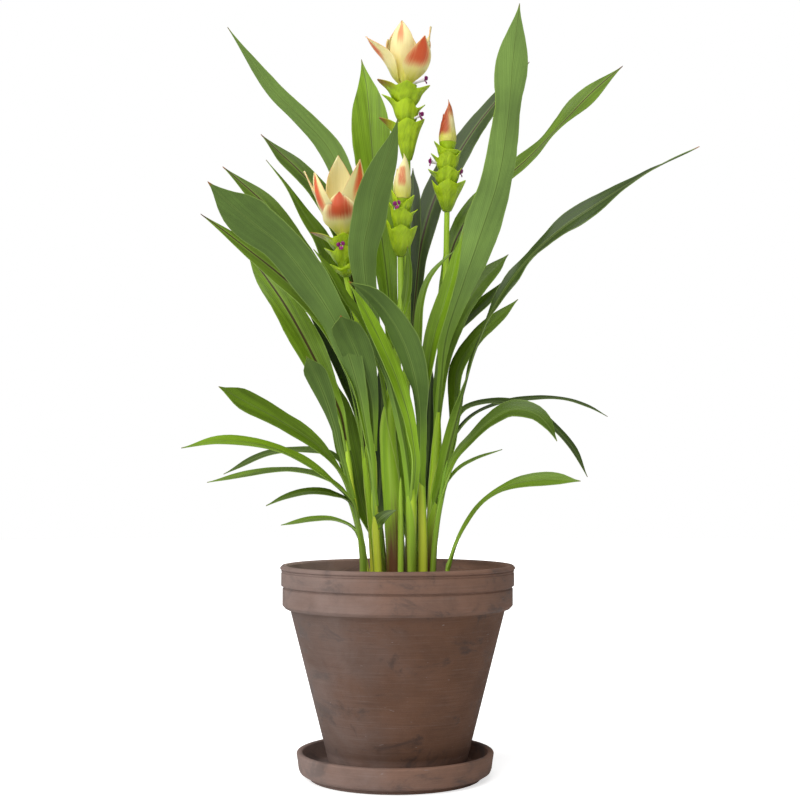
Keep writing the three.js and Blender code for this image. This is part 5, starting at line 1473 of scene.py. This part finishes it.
class SIAM_TULIP_OT_soil(bpy.types.Operator):
    """Fills the pot with lumpy soil and strews crumbs over it"""

    bl_idname = "siam_tulip.soil"
    bl_label = "Soil"

    def execute(self, context):
        settings = context.scene.siam_tulip_soil
        finish = potting_soil(settings)
        soil = self.mound(settings.lump)
        soil.data.materials.append(finish)
        gather([soil, *self.crumbs(settings, finish)], "potting_soil", "soil")
        return {"FINISHED"}

    @staticmethod
    def mound(lump):
        """The soil under the plant, with lumps on its top."""
        edge, level = SOIL_EDGE
        rings = [1 - i / SOIL_RINGS for i in range(SOIL_RINGS + 1)]
        outline = SOIL_SIDE + [(edge * part, level + SOIL_MOUND * (1 - part * part)) for part in rings]
        soil = turned("soil_mound", outline, POT_ACROSS, SOIL_SIDES, 0)
        for vertex in soil.data.vertices:
            x, y = vertex.co.x / MM, vertex.co.y / MM
            if vertex.co.z >= (level - 0.2) * MM:
                inside = step(math.hypot(x - POT_ACROSS, y), edge, edge - LUMP_FADE)
                rise = sum(high * noise.noise((x * wave, y * wave, seed)) for high, wave, seed in SOIL_LUMPS)
                vertex.co.z += rise * lump * inside
        return soil

    @staticmethod
    def crumbs(settings, finish):
        """One dented crumb, copied over the soil in many sizes."""
        edge, level = SOIL_EDGE
        dice = random.Random(CRUMB_SEED)
        deselect()
        bpy.ops.mesh.primitive_ico_sphere_add(subdivisions=2, radius=settings.crumb, location=(0, 0, 0))
        first = bpy.context.object
        for vertex in first.data.vertices:
            vertex.co *= 1 + CRUMB_DENTS * noise.noise(vertex.co / MM * 0.7)
        first.data.materials.append(finish)
        made = []
        for _ in range(settings.crumbs):
            turn, reach = dice.uniform(0, math.tau), edge * math.sqrt(dice.uniform(0.001, 0.9))
            size = dice.uniform(*CRUMB_SIZES) ** CRUMB_POWER
            spin = dice.uniform(0, math.tau)
            x, y = reach * math.cos(turn), reach * math.sin(turn)
            height = level + SOIL_MOUND * (1 - (reach / edge) ** 2) + CRUMB_LIFT
            crumb = bpy.data.objects.new("crumb", first.data.copy())
            bpy.context.scene.collection.objects.link(crumb)
            for vertex in crumb.data.vertices:
                right, back, up = vertex.co * size
                vertex.co = (
                    right * math.cos(spin) - back * math.sin(spin) + (x + POT_ACROSS) * MM,
                    right * math.sin(spin) + back * math.cos(spin) + y * MM,
                    up * CRUMB_FLATNESS + height * MM,
                )
            made.append(crumb)
        bpy.data.objects.remove(first)
        return made


class SIAM_TULIP_OT_stems(bpy.types.Operator):
    """Grows the canes with their sheaths and leaves"""

    bl_idname = "siam_tulip.stems"
    bl_label = "Stems and leaves"

    def execute(self, context):
        stalks, leaves = context.scene.siam_tulip_stalks, context.scene.siam_tulip_leaves
        stalk = stalk_finish(stalks)
        upper, under = leaf_finish(leaves, True), leaf_finish(leaves, False)
        thickest = STALK_THICKNESS + RIB_THICKNESS
        for stem in STEMS:
            cane = Cane(stem["cane"])
            layers = len(stem["leaves"])
            shape, steps = cane_tube(stem, cane, layers)
            parts = [sheet("cane", CANE_SIDES, steps, shape, [stalk])]
            for layer, leaf in enumerate(sorted(stem["leaves"], key=lambda leaf: -leaf["from"])):
                shape, steps, way = blade(cane, leaf)
                parts.append(sheet("blade", BLADE_STRIPS, steps, shape, [upper, under], thickest))
                shape, steps = sheath(stem, cane, leaf, way, layer, layers)
                parts.append(sheet("sheath", SHEATH_STRIPS, steps, shape, [stalk], stalks.layer / MM))
            gather(parts, stem["name"] + "_grown", stem["name"])
        return {"FINISHED"}


class SIAM_TULIP_OT_green_bracts(bpy.types.Operator):
    """Grows the tiers of green bracts round the cores of the blooms, with the tiny flowers among them"""

    bl_idname = "siam_tulip.green_bracts"
    bl_label = "Green bracts"

    def execute(self, context):
        settings = context.scene.siam_tulip_blooms
        green = green_bract_finish(settings)
        florets = (
            floret_finish("floret_lip", settings.floret, 0.55),
            floret_finish("floret_tube", settings.tube, 0.9),
        )
        for bloom in BLOOMS:
            lean = Lean(bloom)
            parts = [sheet("cups", CUP_SIDES, CUP_STATIONS, cup_stack(bloom, lean), [green])]
            below = 0
            for index, rows in enumerate(tiers(bloom["bracts"])):
                shape = pockets(bloom, lean, rows, index, below)
                below = min(row[1] for row in rows)
                parts.append(sheet(
                    "pockets", POCKET_STRIPS, POCKET_STATIONS, shape, [green], BRACT_THICKNESS, ring=True,
                ))
            for row in bloom["florets"]:
                parts += floret_parts(lean, row, florets)
            gather(parts, bloom["name"] + "_pouches", bloom["name"] + "_green_bracts")
        return {"FINISHED"}


class SIAM_TULIP_OT_crowns(bpy.types.Operator):
    """Grows the pale crowns of the blooms, open or still rolled"""

    bl_idname = "siam_tulip.crowns"
    bl_label = "Crowns"

    def execute(self, context):
        pale = pale_bract_finish(context.scene.siam_tulip_blooms)
        for bloom in BLOOMS:
            make = self.closed if "bud" in bloom else self.opened
            parts = make(bloom, Lean(bloom), [pale])
            gather(parts, bloom["name"] + "_petals", bloom["name"] + "_crown")
        return {"FINISHED"}

    @staticmethod
    def closed(bloom, lean, finishes):
        """The bracts of a bud, rolled round each other."""
        parts = []
        for turn in range(len(BUD_HEIGHTS)):
            shape = rolled_bract(bloom, lean, turn)
            parts.append(sheet("rolled_bract", ROLL_STRIPS, BRACT_STATIONS, shape, finishes, ROLL_THICKNESS))
        return parts

    @staticmethod
    def opened(bloom, lean, finishes):
        """A closed heart and the spread bracts round it."""
        parts = [sheet("heart", HEART_SIDES, HEART_STATIONS, heart(bloom, lean), finishes)]
        for index in range(len(bloom["crown"])):
            shape = crown_bract(bloom, lean, index)
            parts.append(sheet("crown_bract", BRACT_STRIPS, BRACT_STATIONS, shape, finishes, BRACT_THICKNESS))
        return parts


class SIAM_TULIP_OT_stage(bpy.types.Operator):
    """Lays the floor and sets the lights and the camera"""

    bl_idname = "siam_tulip.stage"
    bl_label = "Stage"

    def execute(self, context):
        scene = context.scene
        settings = scene.siam_tulip_stage
        self.floor(settings)
        self.backdrop(scene, settings)
        light = bpy.data.lights.new("key_light", "SUN")
        light.energy, light.angle = settings.key, settings.breadth
        lamp = bpy.data.objects.new("key_light", light)
        lamp.rotation_euler = KEY_HEADING.to_track_quat("-Z", "Y").to_euler()
        scene.collection.objects.link(lamp)
        lens = bpy.data.cameras.new("camera")
        lens.lens, lens.sensor_width, lens.clip_start = settings.lens, SENSOR_WIDTH, NEAREST_SEEN
        camera = bpy.data.objects.new("camera", lens)
        camera.location = EYE * MM
        camera.rotation_euler = (math.pi / 2 + settings.pitch, 0, 0)
        scene.collection.objects.link(camera)
        scene.camera = camera
        scene.view_settings.view_transform = "Standard"
        return {"FINISHED"}

    @staticmethod
    def floor(settings):
        """A broad sheet of paper that is bright to the eye and gives the plant no more light for it."""
        deselect()
        bpy.ops.mesh.primitive_circle_add(
            vertices=96, radius=FLOOR_RADIUS, fill_type="NGON", location=(0, 0, 0)
        )
        floor = bpy.context.object
        floor.name = "floor"
        paper = Finish("floor_paper", Specular_IOR_Level=0.1, Emission_Color=(1, 1, 1, 1))
        sight = paper.node("LightPath").outputs["Is Camera Ray"]
        paper.wire(paper.shader.inputs["Emission Strength"], paper.times(sight, settings.glow))
        shade = paper.mix(paper.noise(paper.place(), 0.004, 2), toned(settings.floor, 0.985), settings.floor)
        floor.data.materials.append(paper.done(shade, 0.9))

    @staticmethod
    def backdrop(scene, settings):
        """White to the eye, and a softer even light on the plant."""
        world = bpy.data.worlds.new("backdrop")
        world.use_nodes = True
        nodes, links = world.node_tree.nodes, world.node_tree.links
        sight, blend = nodes.new("ShaderNodeLightPath"), nodes.new("ShaderNodeMapRange")
        blend.inputs["To Min"].default_value = settings.sky
        blend.inputs["To Max"].default_value = settings.backdrop
        links.new(sight.outputs["Is Camera Ray"], blend.inputs["Value"])
        links.new(blend.outputs[0], nodes["Background"].inputs["Strength"])
        nodes["Background"].inputs["Color"].default_value = (1, 1, 1, 1)
        scene.world = world


class SIAM_TULIP_PT_pieces(bpy.types.Panel):
    """Lists the groups of pieces and their settings"""

    bl_idname = "SIAM_TULIP_PT_pieces"
    bl_label = "Potted siam tulip"
    bl_space_type = "VIEW_3D"
    bl_region_type = "UI"
    bl_category = "Siam tulip"

    def draw(self, context):
        for operator in OPERATORS:
            self.layout.operator(operator.bl_idname)
        for name in SETTINGS:
            group = getattr(context.scene, name)
            box = self.layout.box()
            for prop in group.bl_rna.properties:
                if prop.identifier not in {"rna_type", "name"}:
                    box.prop(group, prop.identifier)


SETTINGS = {
    "siam_tulip_clay": ClaySettings,
    "siam_tulip_soil": SoilSettings,
    "siam_tulip_leaves": LeafSettings,
    "siam_tulip_stalks": StalkSettings,
    "siam_tulip_blooms": BloomSettings,
    "siam_tulip_stage": StageSettings,
}
OPERATORS = (
    SIAM_TULIP_OT_stage,
    SIAM_TULIP_OT_saucer,
    SIAM_TULIP_OT_pot,
    SIAM_TULIP_OT_soil,
    SIAM_TULIP_OT_stems,
    SIAM_TULIP_OT_green_bracts,
    SIAM_TULIP_OT_crowns,
)
CLASSES = (*SETTINGS.values(), *OPERATORS, SIAM_TULIP_PT_pieces)


def register():
    for group in CLASSES:
        bpy.utils.register_class(group)
    for name, group in SETTINGS.items():
        setattr(bpy.types.Scene, name, bpy.props.PointerProperty(type=group))


def unregister():
    for name in SETTINGS:
        delattr(bpy.types.Scene, name)
    for group in reversed(CLASSES):
        bpy.utils.unregister_class(group)


def main():
    register()
    bpy.ops.siam_tulip.stage()
    bpy.ops.siam_tulip.saucer()
    bpy.ops.siam_tulip.pot()
    bpy.ops.siam_tulip.soil()
    bpy.ops.siam_tulip.stems()
    bpy.ops.siam_tulip.green_bracts()
    bpy.ops.siam_tulip.crowns()


if __name__ == "__main__":
    main()
